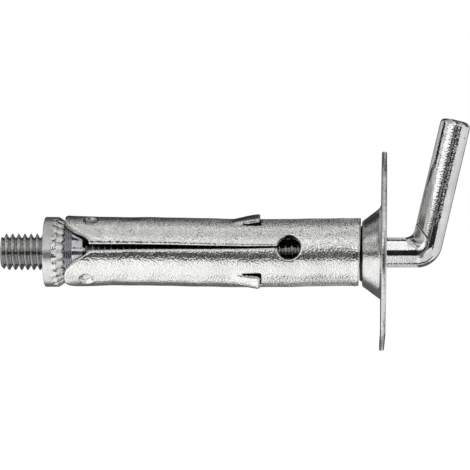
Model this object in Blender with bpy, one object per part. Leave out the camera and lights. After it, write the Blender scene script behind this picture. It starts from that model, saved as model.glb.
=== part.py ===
"""Hook anchor: a hook bolt, its cone nut, a rolled expansion sleeve and a pressed washer.

The bolt lies along X. The origin is on its axis in the plane of the wall, which the washer's
back face touches. +X points out of the wall towards the hook, and +Z up along the raised hook.
The slots, lobes, barbs and dimples of the sleeve are laid out on a flat blank, which is then
given its thickness, formed and rolled. All lengths are in metres and all turns in radians.
"""

import math

import bmesh
import bpy
from mathutils import Vector
from mathutils.geometry import delaunay_2d_cdt

MM = 0.001

# Clearances between the pieces
SEAT_GAP = 0.3 * MM
THREAD_CLEARANCE = 0.3 * MM
WASHER_HOLE_CLEARANCE = 0.35 * MM

# Bolt
THREAD_DIAMETER = 5.8 * MM
THREAD_LENGTH = 52.0 * MM
SHANK_DIAMETER = 4.9 * MM
BOLT_DEPTH = 61.3 * MM
BOLT_END_CHAMFER = 0.55 * MM
THREAD_STEP = 0.5 * MM

# Hook
HOOK_REACH = 6.98 * MM
HOOK_LENGTH = 21.8 * MM
HOOK_LEAN = math.radians(13.2)
BEND_INNER_RADIUS = 0.7 * MM
BEND_OUTER_RADIUS = 4.0 * MM
TIP_ROUND_WIDTH = 1.1 * MM
TIP_ROUND_LENGTH = 0.8 * MM
FLAT_DEPTH = 0.55 * MM
FLAT_TURN = math.radians(16.875)
FLAT_LENGTH = 9.0 * MM
FLAT_RUNOUT = 0.8 * MM

# Pressed washer with its drawn hub
WASHER_DIAMETER = 32.0 * MM
WASHER_THICKNESS = 0.72 * MM
HUB_DEPTH = 3.05 * MM
HUB_STEP = 0.3 * MM
HUB_ANGLE = math.radians(37.0)
HUB_ROOT_FILLET = 1.0 * MM
HUB_END_FILLET = 0.45 * MM
RIM_FILLET = 0.15 * MM

# Sleeve
SLEEVE_DIAMETER = 10.96 * MM
SLEEVE_WALL = 1.0 * MM
SLEEVE_LENGTH = 47.45 * MM
MOUTH_DIAMETER = 11.5 * MM
MOUTH_SPLAY_LENGTH = 14.0 * MM
SEGMENTS = 3
SLOT_TURN = math.radians(10.0)
SLOT_MOUTH_WIDTH = 0.69 * MM
SLOT_END_WIDTH = 0.35 * MM
SLOT_HOLE_DIAMETER = 3.8 * MM
SLOT_HOLE_FROM_END = 11.4 * MM
NOTCH_DEPTH = 3.9 * MM
NOTCH_SHAPE = 1.35

# Barbs and dimples, one of each in the middle of every sleeve segment
BARB_WIDTH = 2.3 * MM
BARB_CUT_LENGTH = 3.0 * MM
BARB_RAMP_LENGTH = 4.6 * MM
BARB_LIFT = 1.04 * MM
BARB_FROM_END = 16.15 * MM
BARB_CORNER = 0.5 * MM
BARB_KERF = 0.14 * MM
BARB_SPREAD = 0.8 * MM
DIMPLE_DIAMETER = 2.4 * MM
DIMPLE_DEPTH = 0.5 * MM
DIMPLE_FROM_MOUTH = 3.6 * MM
DIMPLE_FLOOR_SHARE = 0.5

# Cone nut
COLLAR_DIAMETER = 11.3 * MM
COLLAR_LENGTH = 2.9 * MM
COLLAR_LAND = 1.5 * MM
COLLAR_FACE_FILLET = 0.4 * MM
SHOULDER_DIAMETER = 10.0 * MM
CONE_LENGTH = 3.6 * MM
CONE_ANGLE = math.radians(10.5)
CONE_CHAMFER = 0.3 * MM
KNURL_TEETH = 44
KNURL_DEPTH = 0.16 * MM

# Fineness of the surfaces
BOLT_SIDES = 32
WASHER_SIDES = 64
SLEEVE_SIDES = 60
FILLET_STEPS = 3
BEND_STEPS = 12
KNURL_ROWS = 4
BARB_ROWS = 6
HOLE_STEPS = 20
DIMPLE_SIDES = 16
SPLAY_SHARES = (0.12, 0.3, 0.55, 1.0)
SHARP_ANGLE = math.radians(35.0)
FILLET_SHARE = 0.45
WELD = 0.001 * MM
SHEET_WELD = 0.004 * MM

# Places that follow from the sizes above
SLEEVE_END_X = -(HUB_DEPTH + SEAT_GAP)
SLEEVE_MOUTH_X = SLEEVE_END_X - SLEEVE_LENGTH
SLEEVE_MID_RADIUS = (SLEEVE_DIAMETER - SLEEVE_WALL) / 2
MOUTH_BORE_RADIUS = MOUTH_DIAMETER / 2 - SLEEVE_WALL
NUT_SHOULDER_X = SLEEVE_MOUTH_X - SEAT_GAP
NUT_FACE_X = NUT_SHOULDER_X - COLLAR_LENGTH
NUT_BORE_RADIUS = THREAD_DIAMETER / 2 + THREAD_CLEARANCE
BEND_ANGLE = math.pi / 2 - HOOK_LEAN
ARM_DIRECTION = Vector((math.sin(HOOK_LEAN), 0.0, math.cos(HOOK_LEAN)))
HOOK_CORNER = Vector((HOOK_REACH, 0.0, 0.0))

FINISHES = {
    "bright_zinc": ((0.72, 0.73, 0.74), 1.0, 0.18),
    "turned_zinc": ((0.66, 0.67, 0.69), 1.0, 0.22),
    "rolled_zinc": ((0.58, 0.59, 0.58), 1.0, 0.42),
    "pressed_zinc": ((0.68, 0.69, 0.69), 1.0, 0.34),
}


def clear_scene():
    """Remove every object that the file opened with."""
    for obj in list(bpy.data.objects):
        bpy.data.objects.remove(obj, do_unlink=True)


def make_finish(name):
    """Return a Principled material of one of the named zinc finishes."""
    colour, metallic, roughness = FINISHES[name]
    material = bpy.data.materials.new(name)
    material.use_nodes = True
    shader = material.node_tree.nodes["Principled BSDF"]
    shader.inputs["Base Color"].default_value = (*colour, 1.0)
    shader.inputs["Metallic"].default_value = metallic
    shader.inputs["Roughness"].default_value = roughness
    return material


def add_piece(name, bm, finish, place, parent):
    """Turn a bmesh in the part's frame into a named object whose origin is at place."""
    bmesh.ops.translate(bm, verts=bm.verts, vec=-place)
    mesh = bpy.data.meshes.new(name)
    bm.to_mesh(mesh)
    bm.free()
    mesh.shade_smooth()
    mesh.set_sharp_from_angle(angle=SHARP_ANGLE)
    mesh.materials.append(make_finish(finish))
    obj = bpy.data.objects.new(name, mesh)
    bpy.context.scene.collection.objects.link(obj)
    obj.parent = parent
    obj.location = place
    return obj


def smooth_ramp(value):
    """Rise smoothly from 0 to 1 while value goes from 0 to 1."""
    value = min(max(value, 0.0), 1.0)
    return value * value * (3.0 - 2.0 * value)


def rounded_outline(corners):
    """Return the closed outline through corners (x, r, fillet) with each fillet as an arc."""
    outline = []
    count = len(corners)
    for index, (x, r, fillet) in enumerate(corners):
        corner = Vector((x, r))
        before = Vector(corners[index - 1][:2]) - corner
        after = Vector(corners[(index + 1) % count][:2]) - corner
        if fillet <= 0.0:
            outline.append(corner)
            continue
        half = before.angle(after) / 2
        room = FILLET_SHARE * min(before.length, after.length)
        reach = min(fillet / math.tan(half), room)
        radius = reach * math.tan(half)
        centre = corner + (before.normalized() + after.normalized()).normalized() * (
            radius / math.sin(half)
        )
        first = corner + before.normalized() * reach - centre
        turn = first.angle_signed(corner + after.normalized() * reach - centre)
        for step in range(FILLET_STEPS + 1):
            angle = -turn * step / FILLET_STEPS
            outline.append(centre + Vector((
                first.x * math.cos(angle) - first.y * math.sin(angle),
                first.x * math.sin(angle) + first.y * math.cos(angle),
            )))
    return outline


def turned_shape(outline, sides):
    """Spin a closed outline of (x, r) points once round the X axis."""
    bm = bmesh.new()
    verts = [bm.verts.new((x, 0.0, r)) for x, r in outline]
    edges = [bm.edges.new((verts[i - 1], verts[i])) for i in range(len(verts))]
    bmesh.ops.spin(
        bm, geom=verts + edges, cent=(0, 0, 0), axis=(1, 0, 0), angle=math.tau, steps=sides
    )
    bmesh.ops.remove_doubles(bm, verts=bm.verts, dist=WELD)
    bmesh.ops.recalc_face_normals(bm, faces=bm.faces)
    return bm


def section_ring(centre, out, half_out, half_side, pressed=0.0):
    """Return one section of the wire: an ellipse, with a flat pressed into its inner side."""
    flat_centre = math.pi + FLAT_TURN
    ring = []
    for side in range(BOLT_SIDES):
        angle = math.tau * side / BOLT_SIDES
        facing = math.cos(angle - flat_centre)
        scale = 1.0
        if facing > 0.0:
            scale = min(1.0, (1.0 - pressed / half_side) / facing)
        ring.append(
            centre
            + out * (half_out * scale * math.cos(angle))
            + Vector((0.0, half_side * scale * math.sin(angle), 0.0))
        )
    return ring


def bolt_rings():
    """Return the sections of the rod, from its end in the wall to the start of the bend."""
    out = Vector((0.0, 0.0, -1.0))
    thread = THREAD_DIAMETER / 2
    shank = SHANK_DIAMETER / 2
    thread_end = -BOLT_DEPTH + THREAD_LENGTH
    profile = [
        (-BOLT_DEPTH, thread - BOLT_END_CHAMFER),
        (-BOLT_DEPTH + BOLT_END_CHAMFER, thread),
        (thread_end, thread),
        (thread_end + THREAD_STEP, shank),
    ]
    return [section_ring(Vector((x, 0, 0)), out, radius, radius) for x, radius in profile]


def bend_rings():
    """Return the sections that fan round the tight bend, each as deep as its outer arc allows."""
    wire = SHANK_DIAMETER / 2
    half = BEND_ANGLE / 2
    inward = Vector((-math.sin(half), 0.0, math.cos(half)))
    pivot = HOOK_CORNER + inward * ((BEND_INNER_RADIUS + wire) / math.cos(half))
    outer_drop = (BEND_INNER_RADIUS + 2 * wire - BEND_OUTER_RADIUS) / math.cos(half)
    tangent = math.atan2(
        outer_drop * math.sin(half), BEND_OUTER_RADIUS + outer_drop * math.cos(half)
    )
    rings = []
    for step in range(BEND_STEPS + 1):
        turn = BEND_ANGLE * step / BEND_STEPS
        off_middle = abs(turn - half)
        if half - off_middle < tangent:
            reach = (BEND_INNER_RADIUS + 2 * wire) / math.cos(half - off_middle)
        else:
            across = outer_drop * math.sin(off_middle)
            reach = outer_drop * math.cos(off_middle)
            reach += math.sqrt(BEND_OUTER_RADIUS**2 - across**2)
        out = Vector((math.sin(turn), 0.0, -math.cos(turn)))
        middle = pivot + out * ((reach + BEND_INNER_RADIUS) / 2)
        rings.append(section_ring(middle, out, (reach - BEND_INNER_RADIUS) / 2, wire))
    return rings


def hook_rings():
    """Return the sections of the raised hook, from the bend to its rounded tip."""
    wire = SHANK_DIAMETER / 2
    out = Vector((math.cos(HOOK_LEAN), 0.0, -math.sin(HOOK_LEAN)))
    rings = []
    flat_start = (BEND_INNER_RADIUS + wire) * math.tan(BEND_ANGLE / 2)
    flat_end = flat_start + FLAT_LENGTH
    for along, pressed in (
        (flat_start + FLAT_RUNOUT, FLAT_DEPTH),
        (flat_end - FLAT_RUNOUT, FLAT_DEPTH),
        (flat_end, 0.0),
    ):
        middle = HOOK_CORNER + ARM_DIRECTION * along
        rings.append(section_ring(middle, out, wire, wire, pressed))
    for step in range(FILLET_STEPS + 1):
        turn = math.pi / 2 * step / FILLET_STEPS
        along = HOOK_LENGTH - TIP_ROUND_LENGTH * (1.0 - math.sin(turn))
        radius = wire - TIP_ROUND_WIDTH * (1.0 - math.cos(turn))
        rings.append(section_ring(HOOK_CORNER + ARM_DIRECTION * along, out, radius, radius))
    return rings


def hook_bolt_shape():
    """Loft the bolt, its bend and its hook as one bent piece of wire."""
    bm = bmesh.new()
    rings = []
    for points in bolt_rings() + bend_rings() + hook_rings():
        rings.append([bm.verts.new(point) for point in points])
    for lower, upper in zip(rings, rings[1:]):
        for side in range(BOLT_SIDES):
            after = (side + 1) % BOLT_SIDES
            bm.faces.new((lower[side], lower[after], upper[after], upper[side]))
    bm.faces.new(rings[0])
    bm.faces.new(rings[-1])
    bmesh.ops.recalc_face_normals(bm, faces=bm.faces)
    return bm


def washer_shape():
    """Turn the washer and its hollow conical hub, drawn from one sheet."""
    rim = WASHER_DIAMETER / 2
    hole = THREAD_DIAMETER / 2 + WASHER_HOLE_CLEARANCE
    end = SLEEVE_DIAMETER / 2 - HUB_STEP
    slope = math.tan(HUB_ANGLE)
    inset = WASHER_THICKNESS / math.cos(HUB_ANGLE) - WASHER_THICKNESS * slope
    root = end + HUB_DEPTH * slope
    outline = rounded_outline([
        (0.0, rim, RIM_FILLET),
        (0.0, root, HUB_ROOT_FILLET),
        (-HUB_DEPTH, end, HUB_END_FILLET),
        (-HUB_DEPTH, hole, 0.0),
        (WASHER_THICKNESS - HUB_DEPTH, hole, 0.0),
        (WASHER_THICKNESS - HUB_DEPTH, end - inset, 0.0),
        (WASHER_THICKNESS, root - inset, HUB_ROOT_FILLET + WASHER_THICKNESS),
        (WASHER_THICKNESS, rim, RIM_FILLET),
    ])
    return turned_shape(outline, WASHER_SIDES)


def knurl(bm):
    """Press a groove between each pair of teeth into the rounded shoulder of the collar."""
    land_end = NUT_FACE_X + COLLAR_LAND
    for vert in bm.verts:
        radius = math.hypot(vert.co.y, vert.co.z)
        along = (vert.co.x - land_end) / (NUT_SHOULDER_X - land_end)
        if along < WELD or radius < SHOULDER_DIAMETER / 2 - WELD:
            continue
        turn = math.atan2(vert.co.y, vert.co.z)
        groove = 0.5 - 0.5 * math.cos(KNURL_TEETH * turn)
        scale = 1 - KNURL_DEPTH * groove / radius
        vert.co.y *= scale
        vert.co.z *= scale


def nut_shape():
    """Turn the nut: a collar with a knurled shoulder and the cone that spreads the sleeve."""
    cone = MOUTH_BORE_RADIUS - SEAT_GAP
    small = cone - CONE_LENGTH * math.tan(CONE_ANGLE)
    land_end = NUT_FACE_X + COLLAR_LAND
    cone_end = NUT_SHOULDER_X + CONE_LENGTH
    shoulder = []
    drop = (COLLAR_DIAMETER - SHOULDER_DIAMETER) / 2
    for row in range(KNURL_ROWS + 1):
        turn = math.pi / 2 * row / KNURL_ROWS
        shoulder.append((
            land_end + (NUT_SHOULDER_X - land_end) * math.sin(turn),
            COLLAR_DIAMETER / 2 - drop * (1 - math.cos(turn)),
            0.0,
        ))
    outline = rounded_outline([
        (NUT_FACE_X, NUT_BORE_RADIUS, 0.0),
        (NUT_FACE_X, COLLAR_DIAMETER / 2, COLLAR_FACE_FILLET),
        *shoulder,
        (NUT_SHOULDER_X, cone, 0.0),
        (cone_end - CONE_CHAMFER, small, 0.0),
        (cone_end, small - CONE_CHAMFER, 0.0),
        (cone_end, NUT_BORE_RADIUS, 0.0),
    ])
    bm = turned_shape(outline, KNURL_TEETH * 2)
    knurl(bm)
    return bm


class SleeveBlank:
    """The flat sheet of the sleeve. Its points are (along, around) in metres.

    Along starts at the mouth and around is an arc at the middle of the wall. The blank's two
    long edges become the butt seam, and the other gaps between segments are its slots.
    """

    def __init__(self):
        self.pitch = math.tau * SLEEVE_MID_RADIUS / SEGMENTS
        self.seam = SLOT_TURN * SLEEVE_MID_RADIUS - self.pitch
        self.hole_at = SLEEVE_LENGTH - SLOT_HOLE_FROM_END
        self.barb_tip = SLEEVE_LENGTH - BARB_FROM_END
        self.points = []
        self.edges = []

    def centre(self, segment):
        """Return the middle of a segment, around the sheet."""
        return self.seam + self.pitch * (segment + 0.5)

    def mouth(self, around):
        """Return how far the lobed mouth edge is cut back at a place around the sheet."""
        segment = min(max(math.floor((around - self.seam) / self.pitch), 0), SEGMENTS - 1)
        off_centre = abs(around - self.centre(segment)) / (self.pitch / 2)
        return NOTCH_DEPTH * (0.5 - 0.5 * math.cos(math.pi * min(off_centre, 1.0) ** NOTCH_SHAPE))

    def segment_mouth(self, segment):
        """Return the mouth edge of one segment between its two slots."""
        middle = self.centre(segment)
        reach = self.pitch / 2 - SLOT_MOUTH_WIDTH / 2
        steps = SLEEVE_SIDES // SEGMENTS
        rounds = [middle - reach + 2 * reach * step / steps for step in range(steps + 1)]
        return [(self.mouth(around), around) for around in rounds]

    def keyhole(self, line):
        """Return a slot's lower edge, its round hole and its upper edge."""
        radius = SLOT_HOLE_DIAMETER / 2
        opening = math.asin(SLOT_END_WIDTH / 2 / radius)
        edge = []
        for step in range(HOLE_STEPS + 1):
            turn = math.pi + opening + (math.tau - 2 * opening) * step / HOLE_STEPS
            edge.append((
                self.hole_at + radius * math.cos(turn),
                line + radius * math.sin(turn),
            ))
        return edge

    def outline(self):
        """Return the blank's outer edge, with the slots and their holes open to the mouth."""
        low = self.seam + SLOT_END_WIDTH / 2
        high = self.seam + self.pitch * SEGMENTS - SLOT_END_WIDTH / 2
        edge = []
        for segment in range(SEGMENTS):
            edge += self.segment_mouth(segment)
            if segment < SEGMENTS - 1:
                edge += self.keyhole(self.seam + self.pitch * (segment + 1))
        edge.append((self.hole_at, high))
        edge.append((SLEEVE_LENGTH, high))
        edge.append((SLEEVE_LENGTH, low))
        edge.append((self.hole_at, low))
        return edge

    def barb_kerf(self, segment):
        """Return the U-shaped cut that frees a barb on both sides and at its tip."""
        middle = self.centre(segment)
        half = BARB_WIDTH / 2
        start = self.barb_tip - BARB_CUT_LENGTH
        kerf = [
            (start, middle - half - BARB_KERF),
            (self.barb_tip + BARB_KERF, middle - half - BARB_KERF),
            (self.barb_tip + BARB_KERF, middle + half + BARB_KERF),
            (start, middle + half + BARB_KERF),
            (start, middle + half),
        ]
        for side in (1, -1):
            for step in range(FILLET_STEPS + 1):
                share = step if side > 0 else FILLET_STEPS - step
                turn = math.pi / 2 * (1 - share / FILLET_STEPS)
                kerf.append((
                    self.barb_tip - BARB_CORNER * (1 - math.cos(turn)),
                    middle + side * (half - BARB_CORNER * (1 - math.sin(turn))),
                ))
        kerf.append((start, middle - half))
        return kerf

    def add_line(self, line, closed=False):
        """Keep a run of points joined by edges, which the triangles then follow."""
        first = len(self.points)
        self.points += line
        self.edges += [(first + i, first + i + 1) for i in range(len(line) - 1)]
        if closed:
            self.edges.append((first + len(line) - 1, first))

    def add_rolling_lines(self):
        """Add the straight lines along which the sheet bends when it is rolled."""
        step = math.tau * SLEEVE_MID_RADIUS / SLEEVE_SIDES
        for column in range(1, SLEEVE_SIDES):
            around = self.seam + column * step
            if column % (SLEEVE_SIDES // SEGMENTS):
                self.add_line([(-MM, around), (SLEEVE_LENGTH + MM, around)])

    def add_forming_lines(self):
        """Add the lines across the sheet where the mouth splays and the barbs rise."""
        low = self.seam
        high = self.seam + self.pitch * SEGMENTS
        for share in SPLAY_SHARES:
            along = MOUTH_SPLAY_LENGTH * share
            self.add_line([(along, low - MM), (along, high + MM)])
        start = self.barb_tip - BARB_RAMP_LENGTH
        for segment in range(SEGMENTS):
            middle = self.centre(segment)
            reach = BARB_WIDTH / 2 + BARB_SPREAD
            for row in range(BARB_ROWS + 1):
                along = start + BARB_RAMP_LENGTH * row / BARB_ROWS
                self.add_line([(along, middle - reach), (along, middle + reach)])

    def add_dimple_lines(self):
        """Add the rings of points that follow each dimple."""
        turns = [math.tau * side / DIMPLE_SIDES for side in range(DIMPLE_SIDES)]
        for segment in range(SEGMENTS):
            middle = self.centre(segment)
            for share in (DIMPLE_FLOOR_SHARE, (1 + DIMPLE_FLOOR_SHARE) / 2, 1.0):
                radius = DIMPLE_DIAMETER / 2 * share
                self.add_line([
                    (DIMPLE_FROM_MOUTH + radius * math.cos(turn), middle + radius * math.sin(turn))
                    for turn in turns
                ], closed=True)

    def sheet(self):
        """Return the points and triangles of the blank, worked out at the scale of mm."""
        outline = self.outline()
        kerfs = [self.barb_kerf(segment) for segment in range(SEGMENTS)]
        self.add_line(outline, closed=True)
        for kerf in kerfs:
            self.add_line(kerf, closed=True)
        self.add_rolling_lines()
        self.add_forming_lines()
        self.add_dimple_lines()
        flat = [Vector((along / MM, around / MM)) for along, around in self.points]
        points, _, faces, *_ = delaunay_2d_cdt(flat, self.edges, [], 0, SHEET_WELD / MM)
        points = [Vector((point.x * MM, point.y * MM)) for point in points]
        kept = []
        for face in faces:
            middle = sum((points[i] for i in face), Vector((0.0, 0.0))) / len(face)
            if inside(middle, outline) and not any(inside(middle, kerf) for kerf in kerfs):
                kept.append(face)
        return points, kept

    def lift(self, along, around):
        """Return how far the forming tools move the sheet out, or in where it is negative."""
        total = 0.0
        start = self.barb_tip - BARB_RAMP_LENGTH
        cut = self.barb_tip - BARB_CUT_LENGTH
        half = BARB_WIDTH / 2
        for segment in range(SEGMENTS):
            off = abs(around - self.centre(segment))
            spread = smooth_ramp((half + BARB_SPREAD - off) / BARB_SPREAD)
            free = off < half + BARB_KERF / 2 and along < self.barb_tip + BARB_KERF / 2
            rise = BARB_LIFT * max(along - start, 0.0) / BARB_RAMP_LENGTH
            if along <= cut or free:
                total += rise * spread
            else:
                held = BARB_LIFT * (cut - start) / BARB_RAMP_LENGTH
                total += held * spread * smooth_ramp(1 - (along - cut) / BARB_SPREAD)
            dimple = math.hypot(along - DIMPLE_FROM_MOUTH, off) / (DIMPLE_DIAMETER / 2)
            total -= DIMPLE_DEPTH * smooth_ramp((1 - dimple) / (1 - DIMPLE_FLOOR_SHARE))
        return total

    def splay(self, along):
        """Return how far the mouth stands wider than the rest of the sleeve."""
        share = max(1 - along / MOUTH_SPLAY_LENGTH, 0.0)
        return (MOUTH_DIAMETER - SLEEVE_DIAMETER) / 2 * share * share

    def rolled(self, along, around, depth):
        """Return the place in space of a point of the sheet, at a depth under its outer face."""
        turn = around / SLEEVE_MID_RADIUS
        radius = SLEEVE_DIAMETER / 2 + self.splay(along) + self.lift(along, around) - depth
        return Vector((
            SLEEVE_MOUTH_X + along,
            -radius * math.cos(turn),
            radius * math.sin(turn),
        ))


def inside(point, polygon):
    """Tell whether a point of the plane lies inside a closed polygon."""
    result = False
    for (x0, y0), (x1, y1) in zip(polygon, polygon[1:] + polygon[:1]):
        if (y0 > point.y) != (y1 > point.y):
            if point.x < x0 + (point.y - y0) * (x1 - x0) / (y1 - y0):
                result = not result
    return result


def sleeve_shape():
    """Give the blank its thickness and roll it into the slotted sleeve."""
    blank = SleeveBlank()
    points, faces = blank.sheet()
    used = sorted({index for face in faces for index in face})
    bm = bmesh.new()
    outer = {i: bm.verts.new(blank.rolled(*points[i], 0.0)) for i in used}
    inner = {i: bm.verts.new(blank.rolled(*points[i], SLEEVE_WALL)) for i in used}
    sides = []
    for face in faces:
        bm.faces.new([outer[i] for i in face])
        bm.faces.new([inner[i] for i in reversed(face)])
        sides += zip(face, face[1:] + face[:1])
    known = set(sides)
    for start, end in sides:
        if (end, start) not in known:
            bm.faces.new((outer[end], outer[start], inner[start], inner[end]))
    bmesh.ops.recalc_face_normals(bm, faces=bm.faces)
    return bm


def build():
    """Model the anchor, each piece parented to the frame at the wall."""
    clear_scene()
    frame = bpy.data.objects.new("anchor_frame", None)
    frame.empty_display_size = SLEEVE_DIAMETER
    bpy.context.scene.collection.objects.link(frame)
    wall = Vector((0.0, 0.0, 0.0))
    add_piece("hook_bolt", hook_bolt_shape(), "bright_zinc", wall, frame)
    add_piece("flanged_washer", washer_shape(), "pressed_zinc", wall, frame)
    add_piece(
        "expansion_sleeve", sleeve_shape(), "rolled_zinc", Vector((SLEEVE_MOUTH_X, 0, 0)), frame
    )
    add_piece("cone_nut", nut_shape(), "turned_zinc", Vector((NUT_FACE_X, 0, 0)), frame)


build()
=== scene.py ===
import logging
import math
from dataclasses import dataclass, field
from enum import Enum
from typing import Sequence

import bmesh
import bpy
import numpy as np
from mathutils import Matrix, Vector
from mathutils.geometry import delaunay_2d_cdt


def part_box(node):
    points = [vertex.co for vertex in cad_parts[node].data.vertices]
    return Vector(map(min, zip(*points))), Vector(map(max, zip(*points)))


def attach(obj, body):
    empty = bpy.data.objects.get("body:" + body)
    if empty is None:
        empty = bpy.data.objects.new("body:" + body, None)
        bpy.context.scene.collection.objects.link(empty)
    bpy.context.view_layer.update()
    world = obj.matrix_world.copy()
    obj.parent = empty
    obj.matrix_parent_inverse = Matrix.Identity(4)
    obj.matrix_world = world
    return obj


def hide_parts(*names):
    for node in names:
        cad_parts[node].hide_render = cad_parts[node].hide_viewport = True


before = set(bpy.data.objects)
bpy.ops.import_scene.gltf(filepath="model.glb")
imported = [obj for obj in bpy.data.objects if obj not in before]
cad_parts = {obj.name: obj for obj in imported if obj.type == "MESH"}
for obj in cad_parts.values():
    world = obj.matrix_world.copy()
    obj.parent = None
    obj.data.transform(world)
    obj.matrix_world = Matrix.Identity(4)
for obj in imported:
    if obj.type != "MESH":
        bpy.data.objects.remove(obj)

logging.basicConfig(level=logging.INFO, format="%(levelname)s %(message)s")
log = logging.getLogger("hook_anchor")

MM = 0.001
WELD = 1e-6
FINE_WELD = 1e-7
FILLET_SHARE = 0.45
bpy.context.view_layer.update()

Point = tuple[float, float, float]
Pair = tuple[float, float]
Colour = tuple[float, float, float]
Face = tuple[int, ...]
Socket = bpy.types.NodeSocket
Tree = bpy.types.NodeTree


# Mesh helpers


def smooth_ramp(value: np.ndarray | float) -> np.ndarray | float:
    """Rise smoothly from 0 to 1 while the value goes from 0 to 1."""
    clipped = np.clip(value, 0.0, 1.0)
    return clipped * clipped * (3.0 - 2.0 * clipped)


def clean(mesh: bpy.types.Mesh, shortest: float, weld: bool = False) -> None:
    """Drop what is degenerate in a mesh and turn its faces outwards.

    Args:
        mesh: The mesh, which is changed in place.
        shortest: The length, in metres, under which an edge is dropped.
        weld: Whether vertices closer than that are made one first.
    """
    bm = bmesh.new()
    bm.from_mesh(mesh)
    if weld:
        bmesh.ops.remove_doubles(bm, verts=bm.verts, dist=shortest)
    bmesh.ops.dissolve_degenerate(bm, edges=bm.edges, dist=shortest)
    bmesh.ops.recalc_face_normals(bm, faces=bm.faces)
    bm.to_mesh(mesh)
    bm.free()


def new_object(name: str, points: Sequence, faces: Sequence, material: bpy.types.Material,
               weld: float = WELD) -> bpy.types.Object:
    """Make a smooth, closed, outward-facing mesh object that sits at the origin.

    Args:
        name: The object's name.
        points: The vertices, in metres, in the part's frame.
        faces: The faces, as runs of vertex indices.
        material: The finish of the whole piece.
        weld: How close two vertices are to be made one, in metres.

    Returns:
        The new object, linked to the scene.
    """
    mesh = bpy.data.meshes.new(name)
    mesh.from_pydata([tuple(point) for point in points], [], faces)
    clean(mesh, weld, weld=True)
    mesh.shade_smooth()
    mesh.materials.append(material)
    obj = bpy.data.objects.new(name, mesh)
    bpy.context.scene.collection.objects.link(obj)
    return obj


def loft(rings: Sequence[Sequence[Point]]) -> tuple[list[Point], list[Face]]:
    """Join rings of equally many points into a tube with both ends closed.

    Args:
        rings: The sections of the tube, from one end to the other.

    Returns:
        The tube's points and its faces.
    """
    sides = len(rings[0])
    points = [tuple(point) for ring in rings for point in ring]
    faces = []
    for row in range(len(rings) - 1):
        for side in range(sides):
            after = (side + 1) % sides
            faces.append((
                row * sides + side,
                row * sides + after,
                (row + 1) * sides + after,
                (row + 1) * sides + side,
            ))
    for row in (0, len(rings) - 1):
        centre = np.mean([points[row * sides + side] for side in range(sides)], axis=0)
        points.append(tuple(float(value) for value in centre))
        for side in range(sides):
            after = (side + 1) % sides
            faces.append((row * sides + side, row * sides + after, len(points) - 1))
    return points, faces


def rounded_outline(corners: Sequence[tuple[float, float, float]], steps: int) -> list[Pair]:
    """Round the corners of a closed outline.

    Args:
        corners: Each corner as (x, r, fillet radius).
        steps: The number of edges along each fillet.

    Returns:
        The rounded outline as (x, r) points.
    """
    outline: list[Pair] = []
    for index, (x, r, fillet) in enumerate(corners):
        corner = Vector((x, r))
        if fillet <= 0.0:
            outline.append((x, r))
            continue
        before = Vector(corners[index - 1][:2]) - corner
        after = Vector(corners[(index + 1) % len(corners)][:2]) - corner
        half = before.angle(after) / 2
        reach = min(fillet / math.tan(half), FILLET_SHARE * before.length, FILLET_SHARE * after.length)
        radius = reach * math.tan(half)
        middle = (before.normalized() + after.normalized()).normalized()
        centre = corner + middle * (radius / math.sin(half))
        first = corner + before.normalized() * reach - centre
        turn = first.angle_signed(corner + after.normalized() * reach - centre)
        for step in range(steps + 1):
            angle = -turn * step / steps
            outline.append((
                centre.x + first.x * math.cos(angle) - first.y * math.sin(angle),
                centre.y + first.x * math.sin(angle) + first.y * math.cos(angle),
            ))
    return outline


def divided(outline: Sequence[Pair], longest: float) -> list[Pair]:
    """Divide the long edges of a closed outline.

    Args:
        outline: The outline as (x, r) points.
        longest: The longest edge to leave whole, in metres.

    Returns:
        The outline with extra points.
    """
    result: list[Pair] = []
    for (x0, r0), (x1, r1) in zip(outline, list(outline[1:]) + [outline[0]]):
        count = max(1, math.ceil(math.hypot(x1 - x0, r1 - r0) / longest))
        for step in range(count):
            share = step / count
            result.append((x0 + (x1 - x0) * share, r0 + (r1 - r0) * share))
    return result


def turned(outline: Sequence[Pair], sides: int) -> tuple[np.ndarray, list[Face]]:
    """Turn a closed outline once round the X axis.

    Args:
        outline: The outline as (x, r) points, all off the axis.
        sides: The number of steps round the axis.

    Returns:
        The points and the faces of the ring.
    """
    count = len(outline)
    points = np.empty((sides * count, 3))
    for side in range(sides):
        turn = math.tau * side / sides
        for index, (x, r) in enumerate(outline):
            points[side * count + index] = (x, r * math.cos(turn), r * math.sin(turn))
    faces = []
    for side in range(sides):
        beyond = (side + 1) % sides
        for index in range(count):
            after = (index + 1) % count
            faces.append((
                side * count + index,
                side * count + after,
                beyond * count + after,
                beyond * count + index,
            ))
    return points, faces


# Node helpers


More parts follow.
